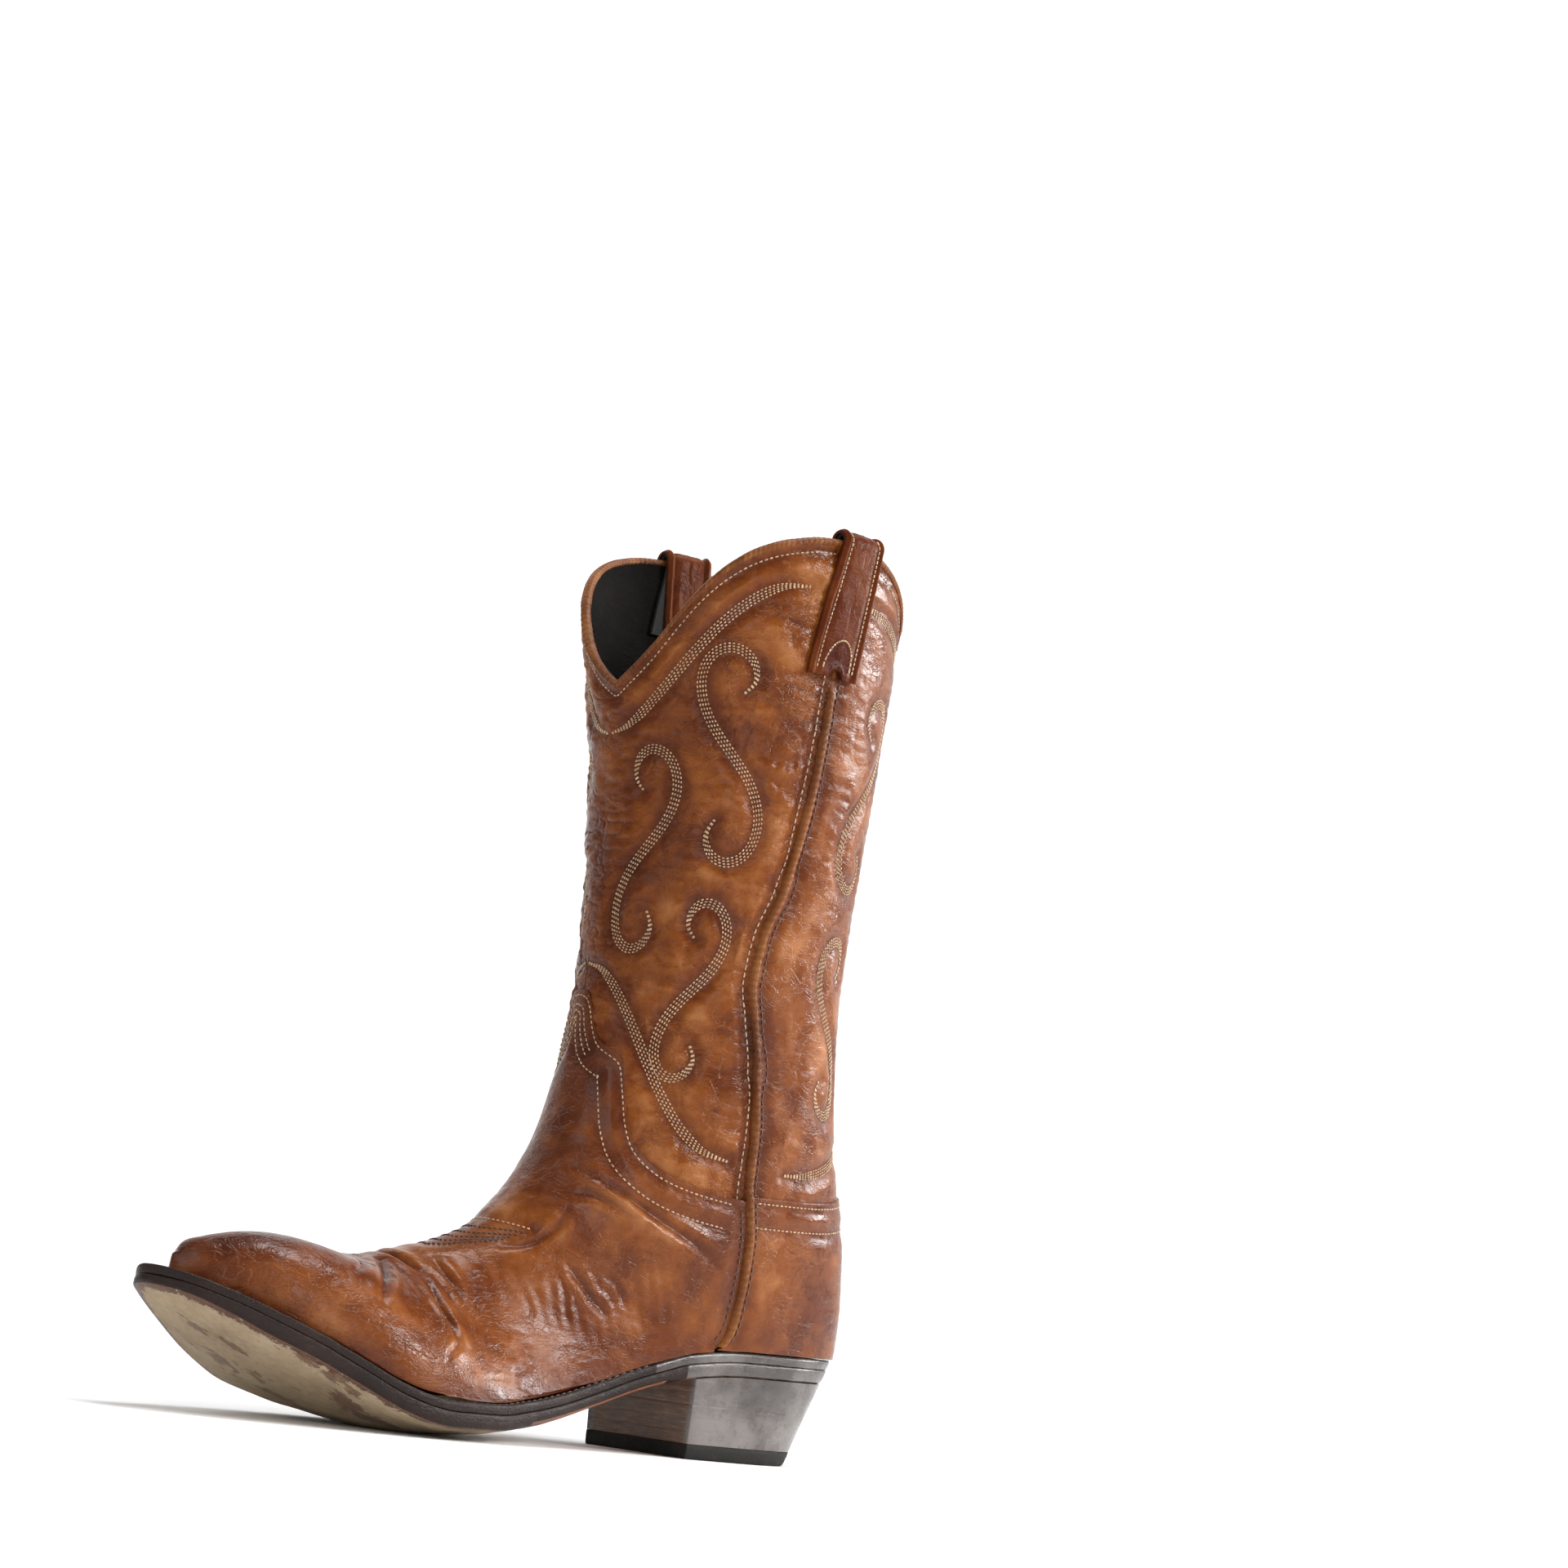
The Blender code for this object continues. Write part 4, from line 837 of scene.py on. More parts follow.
def fold_relief(points):
    total = np.zeros(points.shape[:-1])
    for i, (depth, width, line) in enumerate(FOLDS):
        line = paced(curve_through(line), 0.8)
        along = np.linspace(0, 1, len(line))
        fade = np.sin(np.pi * np.clip(along, 0.04, 0.96)) ** 0.6
        distance, index = nearest(master(line[:, 0], line[:, 1]), points)
        d = distance + 0.45 * value_noise(points, (5, 5, 5), 40 + i)
        valley = np.exp(-((d / (0.55 * width)) ** 2)) - 0.62 * np.exp(-(((d - 1.75 * width) / width) ** 2))
        total -= depth * fade[index] * valley
    return total


def small_folds(points, t, angle):
    """Fans of small folds where the foot bends: on both sides of the vamp, and across the instep."""
    a = np.abs(angle)
    drift = 1.6 * value_noise(points, (11, 11, 11), 70)
    side = ramp(t, 8.6, 9.6) * (1 - ramp(t, 11.2, 12.6)) * ramp(a, 46, 56) * (1 - ramp(a, 74, 84))
    fan = np.sin(2 * math.pi * (points[..., 1] - 0.30 * points[..., 2] + drift) / 5.2)
    across = ramp(t, 11.6, 12.4) * (1 - ramp(t, 14.5, 16.0)) * (1 - ramp(a, 50, 70))
    bars = np.sin(2 * math.pi * (points[..., 1] + 0.10 * points[..., 0] + 1.4 * drift) / 6.1)
    uneven = 0.55 + 0.45 * value_noise(points, (8, 8, 8), 71)
    return uneven * (0.30 * side * fan + 0.26 * across * bars)


def wrinkles(points, coarse=0.32):
    """Slack in worn leather, longer round the leg than up it."""
    fine, crease = 1.15 * coarse, 1.5 * coarse
    h = 0.8 * coarse * value_noise(points, (17, 17, 8), 1) + 0.6 * coarse * value_noise(points, (9, 9, 4.2), 2)
    h += fine * value_noise(points, (6.5, 6.5, 2.1), 3)
    ridge = 1 - np.abs(value_noise(points + 2.2 * value_noise(points, (9, 9, 9), 4)[..., None], (12, 12, 4.6), 5))
    h -= crease * ramp(ridge, 0.86, 1.0) * ramp(value_noise(points, (26, 26, 20), 6), -0.25, 0.45)
    ridge = 1 - np.abs(value_noise(points + 1.5 * value_noise(points, (5, 5, 5), 8)[..., None], (7, 7, 3.0), 10))
    h -= 0.7 * crease * ramp(ridge, 0.80, 1.0) * ramp(value_noise(points, (15, 15, 12), 11), -0.3, 0.5)
    return h


class Skin:
    """One leather piece laid on the boot's surface: relief, colour and stitches all come from here."""

    def __init__(self, base, threads, puff=0.85, reach=5.2, folds=False, coarse=0.32, sink=0.38):
        self.base, self.threads, self.puff, self.reach, self.folds = base, threads, puff, reach, folds
        self.coarse, self.sink = coarse, sink

    def relief(self, t, angle):
        points = master(t, angle)
        self.near = self.threads.to_line(t, angle, points)
        swell = ramp(self.near, -0.3, self.reach)
        settle = 1 - 0.55 * ramp(self.near, 9, 26)
        h = -self.sink + (self.sink + self.puff) * swell * settle
        h += wrinkles(points, self.coarse) * (0.25 + 0.75 * swell)
        h += 0.30 * value_noise(points, (2.4, 2.4, 1.7), 7) * np.exp(-(((self.near - 1.5) / 2.0) ** 2)) * self.puff
        if self.folds:
            h += 0.85 * fold_relief(points) * (0.35 + 0.65 * ramp(self.near, 0, 2.5))
            h += small_folds(points, t, angle)
        return h

    def place(self, t, angle, distance):
        points = offset(t, angle, distance)
        points[..., 2] = np.maximum(points[..., 2], feather_height(points[..., 1]) + 0.05)
        return points

    def sheet(self, t, angle, thick=1.5, closed_tip=False, tint=None):
        """(points, rest, fields, rows, columns) of the leather with its cut edges turned in."""
        h = self.relief(t, angle)
        # Painted shade and light: the tone is darker where the relief sinks into the grooves of the stitched bands and
        # lighter where it swells.
        swell = ramp(self.near, -0.2, 3.2)
        tone = 0.012 * swell + 0.085 * np.clip(h, -1.2, 1.2)
        wear = 0.25 * ramp(h, 0.9, 1.9)
        if tint is not None:
            tone = tone + tint(t, angle)
        edge = np.zeros_like(h)
        bottom = not closed_tip
        pad = ((3, 3 if bottom else 0), (3, 3))
        drop = (1.0, 0.55, 0.2)
        for k in (0,):
            edge[k, :] = 0.07
            edge[:, k] = edge[:, -1 - k] = 0.07
            if bottom:
                edge[-1 - k, :] = 0.07
        edge = np.pad(edge, pad, mode="edge")
        for k, amount in enumerate(drop):
            edge[k, :] = np.maximum(edge[k, :], amount)
            edge[:, k] = np.maximum(edge[:, k], amount)
            edge[:, -1 - k] = np.maximum(edge[:, -1 - k], amount)
            if bottom:
                edge[-1 - k, :] = np.maximum(edge[-1 - k, :], amount)
        t, angle, h, tone, wear = (np.pad(a, pad, mode="edge") for a in (t, angle, h, tone, wear))
        points = self.place(t, angle, self.base + h - edge * thick)
        rest = offset(t, angle, self.base - edge * thick)
        if closed_tip:
            last = points[-1].copy()
            tip = last.copy()
            tip[:, 0] = STATIONS[-1, 6]
            tip[:, 1] = STATIONS[-1, 0] + 1.6 + self.base
            nose = feather_height(tip[:, 1]) + 0.05
            tip[:, 2] = nose + (STATIONS[-1, 3] - 2 + self.base - nose) * np.abs(np.cos(np.radians(angle[-1])))
            extra = []
            for u in (0.3, 0.6, 0.85, 1.0):
                row = last + (tip - last) * u
                row[:, 1] = last[:, 1] + (tip[:, 1] - last[:, 1]) * math.sin(u * math.pi / 2)
                extra.append(row)
            points = np.concatenate([points, np.stack(extra)])
            rest = np.concatenate([rest, np.stack(extra)])
            tone, wear, edge = (np.concatenate([a, np.repeat(a[-1:], 4, 0)]) for a in (tone, wear, edge))
        # Painted shadow: the rows where the cut edges turn in are made darker.
        tone = tone - 0.10 * edge
        rows, columns = points.shape[:2]
        return points.reshape(-1, 3), rest.reshape(-1, 3), {"tone": tone.ravel(), "wear": wear.ravel()}, rows, columns


def vertex_normals(points, quads):
    corners = points[quads]
    face = np.cross(corners[:, 2] - corners[:, 0], corners[:, 3] - corners[:, 1])
    total = np.zeros_like(points)
    for k in range(4):
        np.add.at(total, quads[:, k], face)
    return total / (np.linalg.norm(total, axis=1, keepdims=True) + 1e-12)


def split_pieces(names, points, quads, masks, material, rest, fields):
    """One mesh as several pieces that shade as one: each keeps the whole mesh's normals."""
    normals = vertex_normals(points, quads)
    made = []
    for name, mask in zip(names, masks):
        used, index = np.unique(quads[mask], return_inverse=True)
        shading = np.stack([normals[used, 0], -normals[used, 1], normals[used, 2]], -1)
        made.append(make_piece(name, points[used], [index.reshape(-1, 4)], material, rest[used],
                               {k: v[used] for k, v in fields.items()}, normals=shading))
    return made


def ankle(obj):
    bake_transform(obj)


def ball(obj):
    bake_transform(obj)


def capsules(name, starts, ends, up, radius, material, sides=5, gap=0.2, sink=0.0):
    """A thread stitch from each start to its end, standing on the leather."""
    along = ends - starts
    length = np.linalg.norm(along, axis=1, keepdims=True)
    along = along / (length + 1e-9)
    across = np.cross(up, along)
    across /= np.linalg.norm(across, axis=1, keepdims=True) + 1e-9
    up = np.cross(along, across)
    middle = (starts + ends) / 2
    half = length / 2 - gap / 2
    wobble = rng.normal(0, 0.06, (len(middle), 1)) * radius
    turn = np.arange(sides) * 2 * math.pi / sides
    blocks = [middle - along * half - up * radius * (0.75 + sink)]
    for place, size in ((-0.62, 1.0), (0.62, 1.0)):
        centre = middle + along * half * place + up * (wobble - sink * radius)
        blocks += [centre + (across * math.cos(a) * 1.12 + up * math.sin(a)) * radius * size for a in turn]
    blocks.append(middle + along * half - up * radius * (0.75 + sink))
    points = np.stack(blocks, 1)
    count = points.shape[1]
    base = np.arange(len(points))[:, None] * count
    first, second, last = 1, 1 + sides, count - 1
    triangles, quads = [], []
    for k in range(sides):
        n = (k + 1) % sides
        triangles.append([0, first + n, first + k])
        triangles.append([last, second + k, second + n])
        quads.append([first + k, first + n, second + n, second + k])
    triangles = (base[:, None, :] + np.array(triangles)[None]).reshape(-1, 3)
    quads = (base[:, None, :] + np.array(quads)[None]).reshape(-1, 4)
    return make_piece(name, points.reshape(-1, 3), [triangles, quads], material)


def sew(name, skin, lines, body, radius=0.25, material=None, lift=0.16):
    """The stitches of these lines on a skin; body is a function called on the piece, which attaches it or bakes its
    transform.
    """
    t = np.concatenate([line[:, 0] for line in lines])
    angle = np.concatenate([line[:, 1] for line in lines])
    ends_here = np.cumsum([len(line) for line in lines]) - 1
    h = skin.relief(t, angle)
    points = skin.place(t, angle, skin.base + h + lift)
    up = normal_at(t, angle)
    keep = np.ones(len(t), bool)
    keep[ends_here] = False
    index = np.flatnonzero(keep)
    obj = capsules(name, points[index], points[index + 1], up[index], radius, material or THREAD, gap=0.62)
    body(obj)
    return obj


def by_side(lines):
    inner = [line for line in lines if np.mean((line[:, 1] + 180) % 360 - 180) > 0]
    return inner, [line for line in lines if not any(line is other for other in inner)]


# --- the upper: pieces -----------------------------------------------------------------------------------------------


def signed(angle):
    return (np.asarray(angle, float) + 180) % 360 - 180


def shaft_polish_and_shade(t, angle):
    """Darker along the side seams, where hands and trousers have polished it, and a painted shade that darkens the
    back.
    """
    side = np.abs(fold(angle) - seam_angle(t))
    return -0.05 * np.exp(-((side / 6.0) ** 2)) - 0.03 * ramp(fold(angle), 140, 180)


def vamp_tint(t, angle):
    a = np.abs(np.asarray(angle, float))
    top = (1 - ramp(a, 18, 42)) * ramp(t, 12.5, 15.0)
    toe = ramp(t, 18, 21.5) * (1 - ramp(a, 40, 75))
    side = ramp(a, 40, 62) * (1 - ramp(a, 76, 88)) * ramp(t, 11, 14)
    low = ramp(a, 80, 90)
    return -0.085 * top - 0.05 * toe + 0.045 * side - 0.08 * low


def build_upper():
    front = Skin(0.0, FRONT)
    t, angle = fine_patch(front_side(-1), front_side(1), level(TOP_EDGE, 0.8), level(VAMP_LINE, 7.5, 12), 228, 250)
    points, rest, fields, rows, columns = front.sheet(t, angle, tint=shaft_polish_and_shade)
    quads = facing_out(points, grid_quads(rows, columns), axis_point)
    quarter = make_piece("front_quarter", points, [quads], LEATHER, rest, fields)
    ankle(quarter)
    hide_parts("front_panel")

    back = Skin(0.0, BACK, puff=0.6, coarse=0.15)
    t, angle = fine_patch(back_side(1), back_side(-1), level(TOP_EDGE, 0.8), level(COUNTER_EDGE, 5), 232, 205)
    points, rest, fields, rows, columns = back.sheet(t, angle, tint=shaft_polish_and_shade)
    quads = facing_out(points, grid_quads(rows, columns), axis_point)
    quarter = make_piece("back_quarter", points, [quads], SMOOTH, rest, fields)
    ankle(quarter)
    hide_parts("back_panel")

    counter = Skin(1.7, COUNTER, puff=0.3, coarse=0.06)
    t, angle = fine_patch(back_side(1), back_side(-1), level(COUNTER_EDGE), at(LAST_RING), 70, 205)
    points, rest, fields, rows, columns = counter.sheet(t, angle)
    quads = facing_out(points, grid_quads(rows, columns), axis_point)
    piece = make_piece("heel_counter", points, [quads], SMOOTH, rest, fields)
    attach(piece, "foot")
    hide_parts("counter")

    vamp = Skin(1.7, VAMP, puff=0.4, folds=True, coarse=0.07)
    t, angle = fine_patch(front_side(-1), front_side(1), level(VAMP_LINE, 0, 12), at(LAST_ARCH), 262, 230)
    points, rest, fields, rows, columns = vamp.sheet(t, angle, closed_tip=True, tint=vamp_tint)
    quads = facing_out(points, grid_quads(rows, columns), axis_point)
    ahead = points[quads].mean(1)[:, 1] > 168
    head, tongue_piece = split_pieces(("vamp_front", "vamp_back"), points, quads, (ahead, ~ahead), SMOOTH, rest,
                                      fields)
    ball(head)
    ankle(tongue_piece)
    for piece in (head, tongue_piece):
        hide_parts("vamp")

    inner, outer = by_side(FRONT.rows)
    sew("stitches_front_medial", front, inner, ankle)
    sew("stitches_front_lateral", front, outer, ankle)
    sew("stitches_back", back, BACK.rows, ankle)
    sew("stitches_back_seams", back, BACK.dark, ankle, material=DARK_THREAD)
    sew("stitches_vamp", vamp, VAMP.rows, ankle)
    sew("stitches_instep", vamp, VAMP.dark, ankle, 0.36, DARK_THREAD)
    for name, lines, colour in (("stitches_counter", COUNTER.rows, THREAD),
                                ("stitches_counter_seams", COUNTER.dark, DARK_THREAD)):
        sew(name, counter, lines, lambda obj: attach(obj, "foot"), material=colour)


def build_pipings():
    """The cord in each side seam, puckered where the stitches pull on it."""
    for name, sign in (("medial_seam_piping", 1), ("lateral_seam_piping", -1)):
        t_top = float(level(TOP_EDGE, 2.0)(np.array(sign * 100.0)))
        line = paced(np.stack([np.linspace(t_top, LAST_RING - 0.1, 300), np.zeros(300)], -1), 0.75)
        t = line[:, 0]
        centre = seam_angle(t)
        middle = master(t, sign * centre)
        s = np.concatenate([[0], np.cumsum(np.linalg.norm(np.diff(middle, axis=0), axis=1))])
        under = ramp(middle[:, 2], 276, 281)
        raised = ramp(-middle[:, 2], -100, -93)
        ripple = 0.16 * np.sin(2 * math.pi * s / 2.7 + 1.3 * np.sin(s / 9.0))
        width = 1.75 + 0.1 * np.sin(s / 5.0)
        profile = np.linspace(-1.15, 1.15, 13) * math.pi / 2
        per_degree = np.linalg.norm(master(t, sign * (centre + 0.5)) - master(t, sign * (centre - 0.5)), axis=-1)
        angle = sign * (centre[:, None] + width[:, None] * np.sin(profile)[None, :] / per_degree[:, None])
        crown = (2.0 + ripple) * (1 - under) + 0.4 * under + 1.3 * raised
        low = -1.6 + 1.3 * raised
        height = low[:, None] + (crown - low)[:, None] * np.cos(profile * 0.86)[None, :] ** 0.8
        grid_t = np.broadcast_to(t[:, None], angle.shape)
        points = offset(grid_t, angle, height)
        quads = facing_out(points.reshape(-1, 3), grid_quads(*angle.shape), axis_point)
        # Painted light and shade: the tone is lighter on the raised puckers and darker in the dips between them.
        fields = {"tone": np.broadcast_to((0.25 * ripple - 0.02)[:, None], angle.shape).ravel(),
                  "wear": (0.30 * (np.cos(profile) > 0.9)[None, :] * ramp(ripple, 0.0, 0.16)[:, None]).ravel()}
        piece = make_piece(name, points, [quads], PIPING, points, fields)
        ankle(piece)
        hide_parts("medial_piping" if sign > 0 else "lateral_piping")


def build_edging():
    """The rolled edge round the top of the shaft."""
    for name, start, stop, node in (("front_edging", -97.5, 97.5, "front_binding"), ("back_edging", 99.5, 260.5, "back_binding")):
        angle = np.linspace(start, stop, 420)
        profile = np.radians(np.linspace(-48, 228, 15))
        s = np.arange(len(angle)) * 0.75
        ripple = 0.10 * np.sin(s * 2.1 + 2 * np.sin(s / 7)) + 0.12 * value_noise(
            np.stack([s, s * 0, s * 0], -1), (6, 6, 6), 9)
        points = np.zeros((len(profile), len(angle), 3))
        for k, a in enumerate(profile):
            drop = 1.25 - (1.55 + ripple * 0.5) * math.sin(a)
            height = smooth_line(TOP_EDGE, fold(angle)) - drop
            t = solve_t(angle, lambda p: p[..., 2] - height, 0, 3)
            above = height - master(t, angle)[..., 2]
            points[k] = offset(t, angle, -1.15 + (1.95 + ripple) * math.cos(a))
            points[k, :, 2] += np.maximum(above, 0)
        quads = facing_out(points.reshape(-1, 3), grid_quads(len(profile), len(angle)), lambda p: np.concatenate(
            [p[:, :2] * 0 + np.array([[0, 76]]), p[:, 2:] - 300], 1))
        # Painted light and shade: the tone is lighter where the puckers swell and darker between them.
        fields = {"tone": np.tile(ripple * 0.3 - 0.03, len(profile)), "wear": np.tile(
            ramp(ripple, 0.05, 0.2) * 0.35, len(profile))}
        piece = make_piece(name, points, [quads], PIPING, points, fields)
        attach(piece, "shaft")
        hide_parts(node)


def build_linings():
    t_top = level(TOP_EDGE, 1.2)
    u = np.linspace(-180, 180, 181)[:-1]
    t = even_rows(t_top(u), np.full(len(u), 7.4), 90)
    points = offset(t, np.broadcast_to(u, t.shape), -2.75 + 0.2 * value_noise(master(t, u), (18, 18, 10), 21))
    quads = facing_out(points.reshape(-1, 3), grid_quads(*t.shape, wrap=True), axis_point)[:, ::-1]
    sleeve = make_piece("lining_sleeve", points, [quads], LINING, points, {"tone": np.zeros(t.size), "wear": np.zeros(
        t.size)})
    ankle(sleeve)
    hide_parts("front_lining", "back_lining", "ankle_lining_front", "ankle_lining_back")
    for name, start, stop, rows, columns, turn in (("lining_heel", 90, 270, 20, 60, False), ("lining_foot", -90, 90, 80, 60, True)):
        u = np.linspace(start, stop, columns)
        last = LAST_RING if not turn else LAST_ARCH - 1.2
        t = even_rows(np.full(columns, 7.4), np.full(columns, float(last)), rows)
        points = offset(t, np.broadcast_to(u, t.shape), -2.75 * np.ones(t.shape))
        points[..., 2] = np.maximum(points[..., 2], feather_height(points[..., 1]) + 0.1)
        quads = facing_out(points.reshape(-1, 3), grid_quads(*t.shape), axis_point)[:, ::-1]
        piece = make_piece(name, points, [quads], LINING, points, {"tone": np.zeros(t.size), "wear": np.zeros(t.size)})
        if turn:
            ball(piece)
            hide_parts("vamp_lining_rear", "vamp_lining_front", "ball_lining")
        else:
            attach(piece, "foot")
            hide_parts("heel_lining")


STRAP_HALF, STRAP_ANGLE, STRAP_LEG, STRAP_INNER_LEG, STRAP_RISE = (10.0, 12.0), (101.0, 94.0), 50.0, 44.0, 1.8


def build_straps():
    """A pull strap over each side seam: bound ribs along its edges, and an arch cut for the piping at its foot."""
    top = float(smooth_line(TOP_EDGE, STRAP_ANGLE[0]))
    t_edge = solve_t(np.array(STRAP_ANGLE[0]), lambda p: p[..., 2] - top, 0, LAST_RING)
    per_degree = float(np.linalg.norm(master(t_edge, STRAP_ANGLE[0] + 0.5) - master(t_edge, STRAP_ANGLE[0] - 0.5)))
    outside, inside = 0.3, -3.1

    def path(u, low, clear):
        """(distance, height over the edge) at u millimetres up the strap from its outer end."""
        half = (outside - inside) / 2 + clear
        middle = (outside + inside) / 2
        arc = math.pi * (half + STRAP_RISE) / 2
        turn = np.clip((u - STRAP_LEG) / arc, 0, 1) * math.pi
        distance = middle + half * np.cos(turn)
        height = np.where(u < STRAP_LEG, u - STRAP_LEG, (clear * 0.8 + STRAP_RISE) * np.sin(turn))
        height = np.where(u > STRAP_LEG + arc, -(u - STRAP_LEG - arc), height)
        return distance, height

    across = np.concatenate([np.linspace(-1, -0.72, 12), np.linspace(-0.70, 0.70, 31), np.linspace(0.72, 1, 12)])
    length = STRAP_LEG + math.pi * 3.6 + STRAP_INNER_LEG
    arch = 3.0 * np.sqrt(np.clip(1 - (across / 0.27) ** 2, 0, 1))
    v = np.linspace(0, 1, 150)[:, None]
    for side, sign in (("medial", 1), ("lateral", -1)):

        def lay(u, c, clear):
            distance, height = path(u, 0, clear)
            down = np.clip(-height / STRAP_LEG, 0, 1) * (u < STRAP_LEG)
            half = STRAP_HALF[0] + (STRAP_HALF[1] - STRAP_HALF[0]) * down
            centre = STRAP_ANGLE[0] + (STRAP_ANGLE[1] - STRAP_ANGLE[0]) * down
            angle = sign * (centre + c * half / per_degree)
            edge = top + np.minimum(height, 0)
            t = solve_t(angle, lambda p: p[..., 2] - edge, 0, LAST_RING)
            points = offset(t, angle, distance)
            points[..., 2] += np.maximum(height, 0)
            return points

        c = np.broadcast_to(across[None, :], (len(v), len(across)))
        u = arch[None, :] + (length - arch[None, :]) * v
        inward = (1 - np.abs(c)) * 11.0
        rib = 1.15 * np.exp(-(((inward - 1.5) / 0.95) ** 2)) + 0.35 * np.exp(-(((u - arch[None, :] - 1.3) / 1.0) ** 2))
        groove = 0.35 * np.exp(-(((inward - 3.3) / 0.5) ** 2))
        bulk = 2.35 + 0.55 * ramp(inward, 3.3, 6.5)
        place = np.stack([inward * np.sign(c), u, 0 * u], -1)
        slack = 0.16 * value_noise(place, (6, 7, 6), 30) + 0.10 * value_noise(place, (2.5, 3, 3), 31)
        clear = bulk + rib - groove + slack
        clear = np.pad(clear, 2, mode="edge")
        rim = np.full(clear.shape, 0.0)
        for k, amount in enumerate((1.5, 0.6)):
            rim[k, :] = np.maximum(rim[k, :], amount)
            rim[-1 - k, :] = np.maximum(rim[-1 - k, :], amount)
            rim[:, k] = np.maximum(rim[:, k], amount)
            rim[:, -1 - k] = np.maximum(rim[:, -1 - k], amount)
        clear = clear - rim
        u2, c2 = np.pad(u, 2, mode="edge"), np.pad(c, 2, mode="edge")
        points = lay(u2, c2, clear)
        rest = np.stack([c2 * 11, u2, rim * 2], -1)
        quads = grid_quads(*c2.shape, flip=sign < 0)
        patch = ramp(1 - (c2 / 0.48) ** 2 - ((u2 - 2.6) / 11.0) ** 2, 0.0, 0.12) * (u2 < 15)
        # Painted light and shade: the tone is lighter on the raised ribs and darker on the turned rim.
        fields = {"tone": (0.04 * np.pad(rib, 2, mode="edge") - 0.03 * rim - 0.10 * patch).ravel(),
                  "wear": (0.22 * ramp(np.pad(rib + slack, 2, mode="edge"), 1.0, 1.3)).ravel()}
        flat = points.reshape(-1, 3)
        corners = flat[quads[: 40 * (c2.shape[1] - 1)]]
        face = np.cross(corners[:, 2] - corners[:, 0], corners[:, 3] - corners[:, 1])
        if np.sum(face[:, 0]) * sign < 0:
            quads = quads[:, ::-1]
        piece = make_piece(f"{side}_strap", points, [quads], STRAP, rest, fields)
        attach(piece, "shaft")
        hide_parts(f"{side}_pull_strap")

        starts, ends, ups = [], [], []
        rows = [(np.arange(2.4, STRAP_LEG + 4, 1.75), s) for s in (-1, 1)]
        for steps, s in rows:
            line = lay(steps, np.full(len(steps), s * (1 - 3.3 / 11.0)), np.full(len(steps), 2.5))
            starts.append(line[:-1])
            ends.append(line[1:])
        for reach_up in (14.0,):
            turn = np.linspace(math.pi, 0, 21)
            cc = np.cos(turn) * 0.50
            uu = 2.6 + (reach_up - 2.6) * np.sin(turn) ** 0.8
            keep = np.abs(cc) < 0.68
            line = lay(uu[keep], cc[keep], np.full(keep.sum(), 3.05))
            starts.append(line[:-1])
            ends.append(line[1:])
        starts, ends = np.concatenate(starts), np.concatenate(ends)
        ups = np.tile([sign * 1.0, 0.0, 0.05], (len(starts), 1))
        sewn = capsules(f"stitches_{side}_strap", starts, ends, ups, 0.30, THREAD)
        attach(sewn, "shaft")


# --- the sole and heel -----------------------------------------------------------------------------------------------

HEEL_CAP_THICK, HEEL_NARROWING, HEEL_UNDERCUT = 5.4, 0.05, 0.185
HEEL_TOP = float(sole_height(40.0))
SEAT_TOP = float(feather_height(40.0))
TOE_START, TOE_TIP, TOE_HALF = 220.0, 296.0, 45.9
TOE_MIDDLE = ((220, 0.0), (240, 1.65), (260, 2.9), (280, 3.9), (296, 4.1))


def spline_loop(loop, count):
    """A smooth closed line through the points, with evenly spaced points."""
    a, b, c, d = (np.roll(loop, k, 0)[:, None, :] for k in (1, 0, -1, -2))
    u = np.linspace(0, 1, 16, endpoint=False)[None, :, None]
    fine = 0.5 * (2 * b + (c - a) * u + (2 * a - 5 * b + 4 * c - d) * u**2 + (3 * b - a - 3 * c + d) * u**3)
    fine = fine.reshape(-1, 2)
    closed = np.vstack([fine, fine[:1]])
    s = np.concatenate([[0], np.cumsum(np.linalg.norm(np.diff(closed, axis=0), axis=1))])
    at_s = np.linspace(0, s[-1], count, endpoint=False)
    return np.stack([np.interp(at_s, s, closed[:, k]) for k in range(2)], -1)


def outwards(loop, reach=1):
    step = np.roll(loop, -reach, 0) - np.roll(loop, reach, 0)
    normal = np.stack([step[:, 1], -step[:, 0]], -1)
    normal /= np.linalg.norm(normal, axis=1, keepdims=True)
    return normal if np.sum(normal[:, 0] * (loop[:, 0] - loop[:, 0].mean())) > 0 else -normal


def rounded_toe(loop):
    """The same line with its toe end drawn as one round arch."""
    tip = int(np.argmax(loop[:, 1]))
    sides = []
    for side in (loop[:tip + 1], loop[tip:][::-1]):
        along = np.arange(len(side))
        ahead = side[:, 1] > TOE_START
        low = side[~ahead | (along < len(side) // 2)]
        f = TOE_START + (TOE_TIP - TOE_START) * np.sin(np.linspace(0, 1, 26)[1:] * math.pi / 2)
        order = np.argsort(side[len(side) // 3:, 1])
        old = np.interp(f, side[len(side) // 3:, 1][order], side[len(side) // 3:, 0][order])
        middle = smooth_line(TOE_MIDDLE, f)
        half = TOE_HALF * np.maximum(1 - (f - TOE_START) / (TOE_TIP - TOE_START), 0) ** 0.53
        blend = ramp(f, TOE_START + 4, TOE_START + 30)
        x = (1 - blend) * old + blend * (middle + np.sign(side[len(side) // 2, 0]) * half)
        sides.append(np.vstack([low, np.column_stack([x, f])]))
    return np.vstack([sides[0], sides[1][::-1][1:]])


